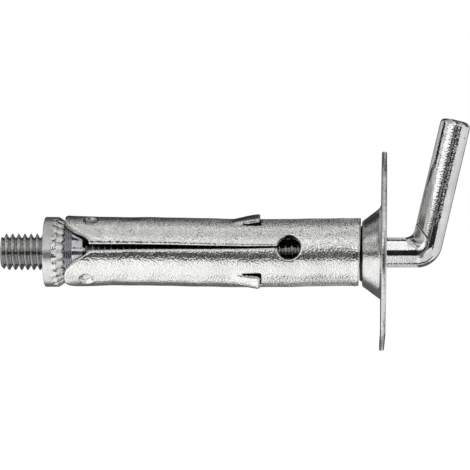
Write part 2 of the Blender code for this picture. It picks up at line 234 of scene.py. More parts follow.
class NodeDesk:
    """Adds nodes to a shader or geometry tree and joins them up."""

    def __init__(self, tree: Tree) -> None:
        """Start on a tree."""
        self.tree = tree

    def add(self, node_type: str, **settings: object) -> bpy.types.Node:
        """Add a node.

        Args:
            node_type: Blender's name for the kind of node.
            settings: The node's own settings, by name.

        Returns:
            The new node.
        """
        node = self.tree.nodes.new(node_type)
        for key, value in settings.items():
            setattr(node, key, value)
        return node

    def feed(self, socket: Socket, value: object) -> None:
        """Give an input what it takes.

        Args:
            socket: The input.
            value: The socket to link to it, or the value to set.
        """
        if isinstance(value, Socket):
            self.tree.links.new(value, socket)
        else:
            socket.default_value = value

    def math(self, operation: str, *values: object) -> Socket:
        """Add a Math node.

        Args:
            operation: The node's operation, such as MULTIPLY.
            values: What each of its inputs takes, a socket or a number.

        Returns:
            The node's result.
        """
        node = self.add("ShaderNodeMath", operation=operation)
        for socket, value in zip(node.inputs, values):
            self.feed(socket, value)
        return node.outputs[0]

    def plus(self, first: object, second: object) -> Socket:
        """Add two numbers."""
        return self.math("ADD", first, second)

    def minus(self, first: object, second: object) -> Socket:
        """Take the second number from the first."""
        return self.math("SUBTRACT", first, second)

    def times(self, first: object, second: object) -> Socket:
        """Multiply two numbers."""
        return self.math("MULTIPLY", first, second)

    def over(self, first: object, second: object) -> Socket:
        """Divide the first number by the second."""
        return self.math("DIVIDE", first, second)

    def window(self, value: object, centre: float, half: float, soft: float) -> Socket:
        """Return 1 within half of the centre, and fall smoothly to 0 over soft beyond it."""
        away = self.math("ABSOLUTE", self.minus(value, centre))
        return self.remap(away, (half - soft / 2, half + soft / 2), (1.0, 0.0), smooth=True)

    def remap(self, value: object, source: Pair, result: Pair, smooth: bool = False) -> Socket:
        """Map a range of values to another, clamped.

        Args:
            value: The socket to map.
            source: The range that comes in.
            result: The range that goes out.
            smooth: Whether the ends are eased.

        Returns:
            The mapped value.
        """
        node = self.add("ShaderNodeMapRange", interpolation_type="SMOOTHSTEP" if smooth else "LINEAR")
        self.feed(node.inputs["Value"], value)
        for name, number in zip(("From Min", "From Max", "To Min", "To Max"), (*source, *result)):
            self.feed(node.inputs[name], number)
        return node.outputs["Result"]

    def blend(self, share: object, first: object, second: object) -> Socket:
        """Mix two numbers.

        Args:
            share: How much of the second is taken.
            first: The first number.
            second: The second number.

        Returns:
            The mixed number.
        """
        node = self.add("ShaderNodeMix", data_type="FLOAT")
        for socket, value in zip(node.inputs[:1] + node.inputs[2:4], (share, first, second)):
            self.feed(socket, value)
        return node.outputs[0]

    def tint(self, share: object, first: object, second: object) -> Socket:
        """Mix two colours.

        Args:
            share: How much of the second is taken.
            first: The first colour.
            second: The second colour.

        Returns:
            The mixed colour.
        """
        node = self.add("ShaderNodeMix", data_type="RGBA")
        for socket, value in zip((node.inputs[0], *node.inputs[6:8]), (share, first, second)):
            self.feed(socket, value)
        return node.outputs[2]

    def split(self, vector: object) -> bpy.types.NodeOutputs:
        """Take a vector apart.

        Args:
            vector: The vector.

        Returns:
            Its X, Y and Z.
        """
        node = self.add("ShaderNodeSeparateXYZ")
        self.feed(node.inputs[0], vector)
        return node.outputs

    def join(self, x: object, y: object, z: object) -> Socket:
        """Make a vector.

        Args:
            x: Its first number.
            y: Its second number.
            z: Its third number.

        Returns:
            The vector.
        """
        node = self.add("ShaderNodeCombineXYZ")
        for socket, value in zip(node.inputs, (x, y, z)):
            self.feed(socket, value)
        return node.outputs[0]

    def noise(self, vector: object, scale: object, detail: float, roughness: float = 0.5) -> Socket:
        """Add a noise texture.

        Args:
            vector: Where it is read.
            scale: How fine it is.
            detail: How many finer layers it has.
            roughness: How strong those layers are.

        Returns:
            The noise, from 0 to 1.
        """
        node = self.add("ShaderNodeTexNoise")
        self.feed(node.inputs["Vector"], vector)
        self.feed(node.inputs["Scale"], scale)
        node.inputs["Detail"].default_value = detail
        node.inputs["Roughness"].default_value = roughness
        return node.outputs["Fac"]

    def place_group(self, group: Tree, place: Socket, sizes: dict[str, float]) -> bpy.types.NodeOutputs:
        """Put a shared shader group into the tree.

        Args:
            group: The group.
            place: The coordinates that it reads.
            sizes: The values of its named inputs.

        Returns:
            The group's outputs.
        """
        node = self.add("ShaderNodeGroup", node_tree=group)
        self.feed(node.inputs["Place"], place)
        for name, value in sizes.items():
            node.inputs[name].default_value = value
        return node.outputs


def shader_group(name: str, inputs: dict[str, float],
                 outputs: Sequence[str]) -> tuple[Tree, NodeDesk, bpy.types.Node, bpy.types.Node]:
    """Start a shader node group whose inputs and outputs are numbers, after a vector.

    Args:
        name: The group's name.
        inputs: Each number that it takes, with its default.
        outputs: The names of the numbers that it gives.

    Returns:
        The group, a desk for its nodes, and its input and output nodes.
    """
    tree = bpy.data.node_groups.new(name, "ShaderNodeTree")
    tree.interface.new_socket("Place", in_out="INPUT", socket_type="NodeSocketVector")
    for socket_name, value in inputs.items():
        socket = tree.interface.new_socket(socket_name, in_out="INPUT", socket_type="NodeSocketFloat")
        socket.default_value = value
    for socket_name in outputs:
        tree.interface.new_socket(socket_name, in_out="OUTPUT", socket_type="NodeSocketFloat")
    desk = NodeDesk(tree)
    return tree, desk, desk.add("NodeGroupInput"), desk.add("NodeGroupOutput")


# Finishes


def build_grain_group() -> Tree:
    """Build the crystal grain of zinc plating: pits and bumps of two sizes.

    Returns:
        The shader group, which gives a height and a share of speckle.
    """
    coarse_scale = 0.31
    fine_height = 0.9
    coarse_height = 0.1
    speckle_span = (0.46, 0.62)
    tree, desk, source, result = shader_group(
        "zinc_grain", {"Grain Size": 0.2, "Speckle": 0.5}, ("Height", "Speckle")
    )
    place = source.outputs["Place"]
    scale = desk.over(1.0 / MM, source.outputs["Grain Size"])
    fine = desk.noise(place, scale, detail=0.6)
    coarse = desk.noise(place, desk.times(scale, coarse_scale), detail=1.0)
    height = desk.plus(desk.times(fine, fine_height), desk.times(coarse, coarse_height))
    desk.feed(result.inputs["Height"], height)
    spots = desk.remap(fine, speckle_span, (0.0, 1.0))
    desk.feed(result.inputs["Speckle"], desk.times(spots, source.outputs["Speckle"]))
    return tree


def build_stain_group() -> Tree:
    """Build the clouding of handled plating and its few dark flecks.

    Returns:
        The shader group, which gives a share of each.
    """
    cloud_span = (0.35, 0.65)
    fleck_span = (0.68, 0.74)
    tree, desk, source, result = shader_group(
        "plating_stains", {"Cloud Size": 4.0, "Fleck Size": 0.9}, ("Cloud", "Fleck")
    )
    place = source.outputs["Place"]
    cloud_scale = desk.over(1.0 / MM, source.outputs["Cloud Size"])
    cloud = desk.noise(place, cloud_scale, detail=4.0, roughness=0.6)
    desk.feed(result.inputs["Cloud"], desk.remap(cloud, cloud_span, (0.0, 1.0), smooth=True))
    fleck_scale = desk.over(1.0 / MM, source.outputs["Fleck Size"])
    fleck = desk.noise(place, fleck_scale, detail=3.0, roughness=0.65)
    desk.feed(result.inputs["Fleck"], desk.remap(fleck, fleck_span, (0.0, 1.0)))
    return tree


@dataclass(frozen=True)
class ZincFinish:
    """A zinc plated surface, from bright drawn wire to dull rolled sheet.

    Sizes, depths and spans are in millimetres. The painted groove shade span is measured from the X axis,
    and the painted lower shade and stipple spans upwards from it.
    """

    name: str
    colour: Colour = (0.80, 0.81, 0.81)
    cloud_colour: Colour = (0.66, 0.66, 0.64)
    fleck_colour: Colour = (0.10, 0.10, 0.09)
    roughness: Pair = (0.15, 0.25)
    grain_size: float = 0.2
    grain_depth: float = 0.5
    speckle: float = 0.4
    cloud_size: float = 4.0
    clouding: float = 0.6
    turning_lines: float = 0.0
    line_width: float = 0.05
    anisotropic: float = 0.0
    brushing_turn: float = 0.25
    painted_shade_colour: Colour | None = None
    groove_shade_span: Pair = (2.2, 2.6)
    lower_shade: float = 0.8
    lower_shade_span: Pair = (0.2, 0.9)
    stipple: float = 1.0
    stipple_span: Pair = (2.0, 6.0)

    @staticmethod
    def metres(span: Pair) -> Pair:
        """Return a span that is given in millimetres."""
        return span[0] * MM, span[1] * MM

    def shown_colour(self, desk: NodeDesk, place: Socket, speckle: Socket,
                     stains: bpy.types.NodeOutputs) -> Socket:
        """Build the surface's colour.

        Args:
            desk: The desk of the material's tree.
            place: The coordinates on the piece.
            speckle: The share of speckle.
            stains: The outputs of the plating stains group.

        Returns:
            The colour, clouded, speckled and flecked, with painted shade in the grooves and over the lower
            half where it has them.
        """
        cloud = desk.times(stains["Cloud"], self.clouding)
        clouded = desk.tint(cloud, (*self.colour, 1.0), (*self.cloud_colour, 1.0))
        speckled = desk.tint(speckle, clouded, (*self.cloud_colour, 1.0))
        shown = desk.tint(stains["Fleck"], speckled, (*self.fleck_colour, 1.0))
        if not self.painted_shade_colour:
            return shown
        # Painted shade: the grooves darken towards their root, and the lower half darkens below the axis.
        _, side, up = desk.split(place)
        squares = desk.plus(desk.math("POWER", side, 2.0), desk.math("POWER", up, 2.0))
        away = desk.math("SQRT", squares)
        groove = desk.remap(away, self.metres(self.groove_shade_span), (1.0, 0.0))
        shown = desk.tint(groove, shown, (*self.painted_shade_colour, 1.0))
        lower_shade = desk.remap(up, self.metres(self.lower_shade_span), (self.lower_shade, 0.0))
        return desk.tint(lower_shade, shown, (*self.painted_shade_colour, 1.0))

    def relief(self, desk: NodeDesk, place: Socket, grain: Socket) -> Socket:
        """Build the surface's height.

        Args:
            desk: The desk of the material's tree.
            place: The coordinates on the piece.
            grain: The height of the zinc grain.

        Returns:
            The height, with the tool's marks and the stronger grain where the finish has them.
        """
        height = grain
        if self.turning_lines > 0.0:
            along = desk.split(place)[0]
            scale = 1.0 / (self.line_width * MM)
            marks = desk.noise(desk.join(along, 0.0, 0.0), scale, detail=3.0, roughness=0.7)
            height = desk.plus(height, desk.times(marks, self.turning_lines))
        if self.stipple > 1.0:
            up = desk.split(place)[2]
            stronger = desk.remap(up, self.metres(self.stipple_span), (1.0, self.stipple), smooth=True)
            height = desk.times(height, stronger)
        return height

    def material(self, grain: Tree, stains: Tree) -> bpy.types.Material:
        """Build the material from the shared groups.

        Args:
            grain: The zinc grain group.
            stains: The plating stains group.

        Returns:
            The material, with its Principled shader outside the groups.
        """
        material = bpy.data.materials.new(self.name)
        material.use_nodes = True
        desk = NodeDesk(material.node_tree)
        shader = material.node_tree.nodes["Principled BSDF"]
        shader.inputs["Metallic"].default_value = 1.0
        shader.inputs["Anisotropic"].default_value = self.anisotropic
        if self.anisotropic > 0.0:
            shader.inputs["Anisotropic Rotation"].default_value = self.brushing_turn
            desk.feed(shader.inputs["Tangent"], desk.add("ShaderNodeTangent", axis="X").outputs[0])
        place = desk.add("ShaderNodeTexCoord").outputs["Object"]
        sizes = {"Grain Size": self.grain_size, "Speckle": self.speckle}
        grained = desk.place_group(grain, place, sizes)
        stained = desk.place_group(stains, place, {"Cloud Size": self.cloud_size})
        colour = self.shown_colour(desk, place, grained["Speckle"], stained)
        desk.feed(shader.inputs["Base Color"], colour)
        desk.feed(shader.inputs["Roughness"], desk.remap(stained["Cloud"], (0.0, 1.0), self.roughness))
        bump = desk.add("ShaderNodeBump")
        bump.inputs["Strength"].default_value = 1.0
        bump.inputs["Distance"].default_value = self.grain_depth * MM
        desk.feed(bump.inputs["Height"], self.relief(desk, place, grained["Height"]))
        desk.feed(shader.inputs["Normal"], bump.outputs["Normal"])
        return material


class Finish(Enum):
    """The zinc finishes that the anchor shows, and the dark ones that paint its shade."""

    WIRE = ZincFinish(
        "bright_zinc_wire", colour=(0.88, 0.89, 0.89), grain_size=0.24, grain_depth=0.009,
        roughness=(0.03, 0.05), stipple=3.2,
    )
    # The thread's dark grey is painted shade in its grooves and over its lower half.
    THREAD = ZincFinish(
        "rolled_thread_zinc", colour=(0.94, 0.95, 0.93), cloud_colour=(0.72, 0.73, 0.7),
        grain_size=0.3, grain_depth=0.03, roughness=(0.1, 0.18), painted_shade_colour=(0.34, 0.35, 0.34),
    )
    SLEEVE = ZincFinish(
        "rolled_sheet_zinc", colour=(0.92, 0.92, 0.9), cloud_colour=(0.8, 0.8, 0.77),
        grain_size=0.25, grain_depth=0.05, roughness=(0.13, 0.17), speckle=1.0, anisotropic=0.8,
    )
    # Painted shade: a dark finish for the bore, the barbs' slits, the wire's crease and the washer's lip.
    PAINTED_SHADE = ZincFinish(
        "painted_shade_zinc", colour=(0.14, 0.14, 0.13), cloud_colour=(0.08, 0.08, 0.07),
        grain_size=0.4, grain_depth=0.04, roughness=(0.4, 0.5),
    )
    CUT = ZincFinish(
        "sheared_zinc", colour=(0.95, 0.95, 0.94), grain_size=0.2, grain_depth=0.02, roughness=(0.5, 0.6),
    )
    NUT = ZincFinish(
        "turned_zinc", colour=(0.84, 0.84, 0.85), grain_size=0.26, grain_depth=0.025,
        roughness=(0.3, 0.36), turning_lines=0.3, anisotropic=0.5,
    )
    # Painted shade: the turned rings are coloured dark for the shade that the shoulder and the sleeve's
    # lobes cast on them.
    RINGS_PAINTED_SHADE = ZincFinish(
        "turned_ring_painted_shade_zinc", colour=(0.4, 0.41, 0.44), cloud_colour=(0.3, 0.31, 0.34),
        grain_size=0.4, grain_depth=0.01, roughness=(0.1, 0.14), turning_lines=0.8, anisotropic=0.3,
    )
    CONE = ZincFinish(
        "polished_cone_zinc", colour=(0.8, 0.8, 0.83), cloud_colour=(0.74, 0.74, 0.77),
        grain_size=0.5, grain_depth=0.01, roughness=(0.06, 0.09), turning_lines=0.8, anisotropic=0.3,
    )
    KNURL = ZincFinish(
        "knurled_zinc", colour=(0.9, 0.9, 0.88), grain_size=0.24, grain_depth=0.06, roughness=(0.1, 0.16),
    )
    WASHER = ZincFinish(
        "pressed_sheet_zinc", colour=(0.82, 0.83, 0.82), grain_size=0.2, grain_depth=0.032,
        roughness=(0.13, 0.19), cloud_size=6.0, speckle=0.8,
    )


class FinishShop:
    """Builds each finish once and hands out its material."""

    def __init__(self) -> None:
        """Build the shared groups."""
        self.grain = build_grain_group()
        self.stains = build_stain_group()
        self.made: dict[Finish, bpy.types.Material] = {}

    def get(self, finish: Finish) -> bpy.types.Material:
        """Return a finish's material, built when it is first asked for.

        Args:
            finish: The finish.

        Returns:
            Its material.
        """
        if finish not in self.made:
            self.made[finish] = finish.value.material(self.grain, self.stains)
        return self.made[finish]


# Geometry Nodes


class GeometryMaker:
    """A Geometry Nodes tree with named inputs, made into a plain mesh."""

    def __init__(self, name: str, sizes: dict[str, float], material: bpy.types.Material) -> None:
        """Start a tree.

        Args:
            name: The tree's and the object's name.
            sizes: Each named input and its value.
            material: The finish that the tree sets.
        """
        self.name = name
        self.sizes = sizes
        self.material = material
        self.tree = bpy.data.node_groups.new(name, "GeometryNodeTree")
        self.tree.interface.new_socket("Geometry", in_out="INPUT", socket_type="NodeSocketGeometry")
        self.sockets = {}
        for size, value in sizes.items():
            kind = "NodeSocketInt" if isinstance(value, int) else "NodeSocketFloat"
            self.sockets[size] = self.tree.interface.new_socket(size, in_out="INPUT", socket_type=kind)
        self.tree.interface.new_socket("Geometry", in_out="OUTPUT", socket_type="NodeSocketGeometry")
        self.desk = NodeDesk(self.tree)
        self.source = self.desk.add("NodeGroupInput")
        self.result = self.desk.add("NodeGroupOutput")

    def size(self, name: str) -> Socket:
        """Return the tree's own socket of a named input."""
        return self.source.outputs[name]

    def finish(self, geometry: Socket) -> bpy.types.Object:
        """End the tree with its instances made real, and turn it into a mesh.

        Args:
            geometry: The socket that holds the finished shape.

        Returns:
            A mesh object with no modifier.
        """
        real = self.desk.add("GeometryNodeRealizeInstances")
        self.desk.feed(real.inputs[0], geometry)
        merge = self.desk.add("GeometryNodeMergeByDistance")
        self.desk.feed(merge.inputs["Geometry"], real.outputs[0])
        merge.inputs["Distance"].default_value = WELD
        smooth = self.desk.add("GeometryNodeSetShadeSmooth")
        self.desk.feed(smooth.inputs[0], merge.outputs[0])
        paint = self.desk.add("GeometryNodeSetMaterial")
        self.desk.feed(paint.inputs["Geometry"], smooth.outputs[0])
        paint.inputs["Material"].default_value = self.material
        self.desk.feed(self.result.inputs[0], paint.outputs[0])
        host = bpy.data.objects.new(self.name, bpy.data.meshes.new(self.name + "_host"))
        bpy.context.scene.collection.objects.link(host)
        modifier = host.modifiers.new(self.name, "NODES")
        modifier.node_group = self.tree
        for size, value in self.sizes.items():
            modifier[self.sockets[size].identifier] = value
        evaluated = host.evaluated_get(bpy.context.evaluated_depsgraph_get())
        mesh = bpy.data.meshes.new_from_object(evaluated)
        host.modifiers.remove(modifier)
        clean(mesh, FINE_WELD)
        host.data = mesh
        return host


# Hook bolt


@dataclass
class HookBolt:
    """The steel wire, bent up into a hook, and the thread rolled on its inner part."""

    shop: FinishShop
    shank_radius: float = 2.45 * MM
    reach: float = 6.98 * MM
    length: float = 21.8 * MM
    lean: float = math.radians(13.2)
    bend_inner_radius: float = 1.5 * MM
    bend_outer_radius: float = 4.2 * MM
    tip_width: float = 1.1 * MM
    tip_length: float = 0.8 * MM
    flat_depth: float = 0.12 * MM
    flat_turn: float = math.radians(44.0)
    flat_length: float = 8.6 * MM
    flat_start: float = 0.1 * MM
    flat_runin: float = 0.4 * MM
    flat_runout: float = 1.6 * MM
    crease_start: float = 2.09 * MM
    crease_slope: float = 0.9
    crease_depth: float = 0.08 * MM
    crease_width: float = 0.09 * MM
    crease_end: float = 0.3 * MM
    uncreased: float = 1.0
    sharp_angle: float = math.radians(20.0)
    wire_start: float = -9.6 * MM
    fine_length: float = 3.0 * MM
    sides: int = 192
    shank_steps: int = 40
    bend_steps: int = 72
    fine_steps: int = 44
    arm_steps: int = 59
    tip_steps: int = 8
    thread_radius: float = 2.95 * MM
    thread_depth: float = 0.68 * MM
    thread_pitch: float = 1.0 * MM
    thread_turns: int = 52
    thread_chamfer: float = 0.55 * MM
    thread_flank: Pair = (0.05, 0.42)
    thread_rows: int = 16
    thread_sides: int = 48

    def __post_init__(self) -> None:
        """Work out the directions and the length of the bend."""
        self.bend = math.pi / 2 - self.lean
        self.corner = Vector((self.reach, 0.0, 0.0))
        self.arm = Vector((math.sin(self.lean), 0.0, math.cos(self.lean)))
        self.arm_out = Vector((math.cos(self.lean), 0.0, -math.sin(self.lean)))
        self.tangent = (self.bend_inner_radius + self.shank_radius) * math.tan(self.bend / 2)
        self.rod_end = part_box("hook_bolt")[0].x

    def section(self, centre: Vector, out: Vector, half_out: float, half_side: float,
                pressed: float = 0.0, half_in: float | None = None) -> list[Vector]:
        """Return one section of the wire.

        Args:
            centre: The middle of the section.
            out: The direction of the outside of the bend.
            half_out: Half the section's size along out.
            half_side: Half its size across.
            pressed: How deep the flat on its inner side is pressed.
            half_in: Its size against out, where that is another.

        Returns:
            The section's points.
        """
        ring = []
        for side in range(self.sides):
            angle = math.tau * side / self.sides
            facing = math.cos(angle - math.pi - self.flat_turn)
            scale = 1.0
            if facing > 0.0:
                scale = min(1.0, (1.0 - pressed / half_side) / facing)
            sideways = Vector((0.0, half_side * scale * math.sin(angle), 0.0))
            half = half_out if half_in is None or math.cos(angle) > 0.0 else half_in
            ring.append(centre + out * (half * scale * math.cos(angle)) + sideways)
        return ring

    def bend_section(self, turn: float) -> list[Vector]:
        """Return one section of the bend.

        Args:
            turn: How far round the bend it stands.

        Returns:
            The section's points.
        """
        wire = self.shank_radius
        half = self.bend / 2
        inward = Vector((-math.sin(half), 0.0, math.cos(half)))
        pivot = self.corner + inward * ((self.bend_inner_radius + wire) / math.cos(half))
        off_middle = abs(turn - half)
        reach = self.bend_reach(off_middle, self.bend_outer_radius)
        axis = self.bend_reach(off_middle, self.bend_outer_radius - wire)
        out = Vector((math.sin(turn), 0.0, -math.cos(turn)))
        inner = axis - self.bend_inner_radius
        return self.section(pivot + out * axis, out, reach - axis, wire, half_in=inner)

    def bend_reach(self, off_middle: float, radius: float) -> float:
        """Return how far a curve round the bend lies from the bend's pivot.

        Args:
            off_middle: The angle from the middle of the bend.
            radius: The radius of the curve's round part, before it runs straight on.

        Returns:
            The distance from the pivot.
        """
        half = self.bend / 2
        drop = (self.bend_inner_radius + 2 * self.shank_radius - self.bend_outer_radius) / math.cos(half)
        straight = radius + drop * math.cos(half)
        if half - off_middle < math.atan2(drop * math.sin(half), straight):
            return straight / math.cos(half - off_middle)
        return drop * math.cos(off_middle) + math.sqrt(radius**2 - (drop * math.sin(off_middle)) ** 2)

    def pressed(self, along: float) -> float:
        """Return how deep the flat is.

        Args:
            along: The distance along the arm, from the corner of its axis.

        Returns:
            The depth, which eases in and out.
        """
        end = self.tangent + self.flat_length
        rise = smooth_ramp((along - self.tangent - self.flat_start) / self.flat_runin)
        return self.flat_depth * float(rise * smooth_ramp((end - along) / self.flat_runout))

    def rings(self) -> list[list[Vector]]:
        """Lay the sections of the smooth wire, from the thread to the tip.

        Returns:
            The points of each section.
        """
        wire = self.shank_radius
        down = Vector((0.0, 0.0, -1.0))
        rings = []
        shank = np.linspace(self.wire_start, self.reach - self.tangent, self.shank_steps, endpoint=False)
        for x in shank:
            rings.append(self.section(Vector((float(x), 0.0, 0.0)), down, wire, wire))
        for step in range(self.bend_steps + 1):
            rings.append(self.bend_section(self.bend * step / self.bend_steps))
        fine_end = self.tangent + self.fine_length
        places = np.concatenate([
            np.linspace(self.tangent, fine_end, self.fine_steps + 1)[1:],
            np.linspace(fine_end, self.length - self.tip_length, self.arm_steps + 1)[1:],
        ])
        for along in places.tolist():
            middle = self.corner + self.arm * along
            rings.append(self.section(middle, self.arm_out, wire, wire, self.pressed(along)))
        for step in range(1, self.tip_steps + 1):
            turn = math.pi / 2 * step / self.tip_steps
            along = self.length - self.tip_length * (1.0 - math.sin(turn))
            radius = wire - self.tip_width * (1.0 - math.cos(turn))
            rings.append(self.section(self.corner + self.arm * along, self.arm_out, radius, radius))
        return rings

    def crease(self, point: Vector, middle: Vector) -> Vector:
        """Press the crease of the tight bend into a point of the wire.

        Args:
            point: The point on the wire's surface.
            middle: The middle of the wire beside it.

        Returns:
            The point, moved towards the middle where the crease runs.
        """
        away = self.off_crease(point) / self.crease_width
        depth = self.crease_depth * math.exp(-away * away)
        return point + (middle - point).normalized() * depth

    def off_crease(self, point: Vector) -> float:
        """Return how far a point lies past the crease.

        Args:
            point: The point on the wire's surface.

        Returns:
            The distance, or a far one where the crease has ended.
        """
        offset = point - self.corner
        off_axis = offset.dot(self.arm_out)
        if off_axis >= self.crease_end:
            return self.uncreased
        past = offset.dot(self.arm) + self.crease_slope * off_axis - self.crease_start
        return past / math.hypot(1.0, self.crease_slope)

    def build_wire(self) -> bpy.types.Object:
        """Build the smooth shank, the bend and the raised arm.

        Returns:
            The wire, with its crease pressed in and painted dark as shade.
        """
        rings = []
        for ring in self.rings():
            middle = sum(ring, Vector()) / len(ring)
            rings.append([self.crease(point, middle) for point in ring])
        points, faces = loft(rings)
        wire = new_object("hook_wire", points, faces, self.shop.get(Finish.WIRE))
        # Painted shade: the faces along the crease take the dark finish.
        wire.data.materials.append(self.shop.get(Finish.PAINTED_SHADE))
        for face in wire.data.polygons:
            face.material_index = int(abs(self.off_crease(face.center)) < self.crease_width)
        wire.data.set_sharp_from_angle(angle=self.sharp_angle)
        return wire

    def build_thread(self) -> bpy.types.Object:
        """Build the thread as a sheared grid wrapped on a helix, cut flat at both ends.

        The grid's first and last rows fall onto the axis, and so close the ends.

        Returns:
            The thread.
        """
        maker = GeometryMaker("rolled_thread", {
            "Start": self.rod_end,
            "Crest Radius": self.thread_radius,
            "Depth": self.thread_depth,
            "Pitch": self.thread_pitch,
            "Turns": float(self.thread_turns),
            "Chamfer": self.thread_chamfer,
            "Rows": (self.thread_turns + 1) * self.thread_rows + 3,
            "Sides": self.thread_sides,
        }, self.shop.get(Finish.THREAD))
        desk = maker.desk
        grid = desk.add("GeometryNodeMeshGrid")
        grid.inputs["Size X"].default_value = 1.0
        grid.inputs["Size Y"].default_value = 1.0
        desk.feed(grid.inputs["Vertices X"], maker.size("Rows"))
        desk.feed(grid.inputs["Vertices Y"], desk.plus(maker.size("Sides"), 1.0))
        x, y, _ = desk.split(desk.add("GeometryNodeInputPosition").outputs[0])
        last_row = desk.minus(maker.size("Rows"), 1.0)
        row = desk.math("ROUND", desk.times(desk.plus(x, 0.5), last_row))
        share = desk.plus(y, 0.5)
        rise = desk.over(desk.minus(row, 1.0), float(self.thread_rows))
        turns = desk.plus(desk.minus(rise, 1.0), share)
        turns = desk.math("MINIMUM", desk.math("MAXIMUM", turns, 0.0), maker.size("Turns"))
        phase = desk.math("FRACT", desk.minus(desk.plus(turns, 1.0), share))
        off_crest = desk.math("ABSOLUTE", desk.minus(phase, 0.5))
        groove = desk.remap(off_crest, self.thread_flank, (0.0, 1.0))
        along = desk.times(turns, maker.size("Pitch"))
        radius = desk.minus(maker.size("Crest Radius"), desk.times(groove, maker.size("Depth")))
        bevel = desk.minus(maker.size("Crest Radius"), maker.size("Chamfer"))
        radius = desk.math("MINIMUM", radius, desk.plus(bevel, along))
        after_first = desk.math("GREATER_THAN", row, 0.5)
        before_last = desk.math("LESS_THAN", row, desk.minus(last_row, 0.5))
        radius = desk.times(radius, desk.times(after_first, before_last))
        angle = desk.times(share, math.tau)
        wrap = desk.add("GeometryNodeSetPosition")
        desk.feed(wrap.inputs["Geometry"], grid.outputs["Mesh"])
        desk.feed(wrap.inputs["Position"], desk.join(
            desk.plus(maker.size("Start"), along),
            desk.times(radius, desk.math("COSINE", angle)),
            desk.times(radius, desk.math("SINE", angle)),
        ))
        return maker.finish(wrap.outputs[0])

    def build(self) -> list[bpy.types.Object]:
        """Build the bolt and let it ride on the hook's body.

        Returns:
            The wire and the thread.
        """
        wire = self.build_wire()
        thread = self.build_thread()
        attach(wire, "hook")
        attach(thread, "hook")
        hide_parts("hook_bolt")
        return [wire, thread]


# Washer


@dataclass
class PressedWasher:
    """The flat flange and the conical hub drawn out of it."""

    shop: FinishShop
    radius: float = 16.0 * MM
    thickness: float = 0.8 * MM
    hub_depth: float = 3.05 * MM
    hub_end_radius: float = 5.18 * MM
    hub_angle: float = math.radians(37.0)
    hole_radius: float = 3.25 * MM
    lip_radius: float = 4.3 * MM
    lip_depth: float = 0.42 * MM
    root_fillet: float = 1.0 * MM
    end_fillet: float = 0.45 * MM
    rim_fillet: float = 0.22 * MM
    lip_step: float = 0.2 * MM
    lip_root_fillet: float = 0.15 * MM
    lip_fillet: float = 0.1 * MM
    hole_fillet: float = 0.12 * MM
    hub_floor_fillet: float = 0.3 * MM
    disc_start: float = 6.9 * MM
    disc_run: float = 1.6 * MM
    disc_lift: float = 0.2 * MM
    hub_lift: float = -0.22 * MM
    tilt: float = math.radians(0.5)
    rim_bend: float = 0.17 * MM
    rim_bend_start: float = 12.5 * MM
    rim_bend_run: float = 3.5 * MM
    set_back: float = 0.08 * MM
    shade_margin: float = 0.02 * MM
    sides: int = 256
    fillet_steps: int = 8
    longest_edge: float = 0.6 * MM

    def outline(self) -> list[Pair]:
        """Draw the washer's section.

        Returns:
            The closed section as (x, r) points.
        """
        slope = math.tan(self.hub_angle)
        inset = self.thickness / math.cos(self.hub_angle) - self.thickness * slope
        root = self.hub_end_radius + self.hub_depth * slope
        front = self.thickness - self.hub_depth
        corners = [
            (0.0, self.radius, self.rim_fillet),
            (0.0, root, self.root_fillet),
            (-self.hub_depth, self.hub_end_radius, self.end_fillet),
            (-self.hub_depth, self.lip_radius + self.lip_step, self.lip_root_fillet),
            (-self.hub_depth - self.lip_depth, self.lip_radius, self.lip_fillet),
            (-self.hub_depth - self.lip_depth, self.hole_radius, self.lip_fillet),
            (front, self.hole_radius, self.hole_fillet),
            (front, self.hub_end_radius - inset, self.hub_floor_fillet),
            (self.thickness, root - inset, self.root_fillet + self.thickness),
            (self.thickness, self.radius, self.rim_fillet),
        ]
        return divided(rounded_outline(corners, self.fillet_steps), self.longest_edge)

    def build(self) -> list[bpy.types.Object]:
        """Build the washer, hung a little off centre on the shank, and let it ride.

        Returns:
            The washer alone.
        """
        points, faces = turned(self.outline(), self.sides)
        away = np.hypot(points[:, 1], points[:, 2])
        share = smooth_ramp((away - self.disc_start) / self.disc_run)
        low = (-self.rim_bend_start - points[:, 2]) / self.rim_bend_run
        points[:, 0] += points[:, 2] * math.sin(self.tilt) * share
        points[:, 0] -= self.rim_bend * smooth_ramp(low)
        points[:, 0] -= self.set_back
        points[:, 2] += self.hub_lift + (self.disc_lift - self.hub_lift) * share
        washer = new_object("pressed_washer", points, faces, self.shop.get(Finish.WASHER))
        # Painted shade: the lip that sits in the sleeve's end takes the dark finish.
        washer.data.materials.append(self.shop.get(Finish.PAINTED_SHADE))
        for face in washer.data.polygons:
            face.material_index = int(face.center.x < -self.hub_depth - self.shade_margin)
        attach(washer, "washer")
        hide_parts("flanged_washer")
        return [washer]


# Nut


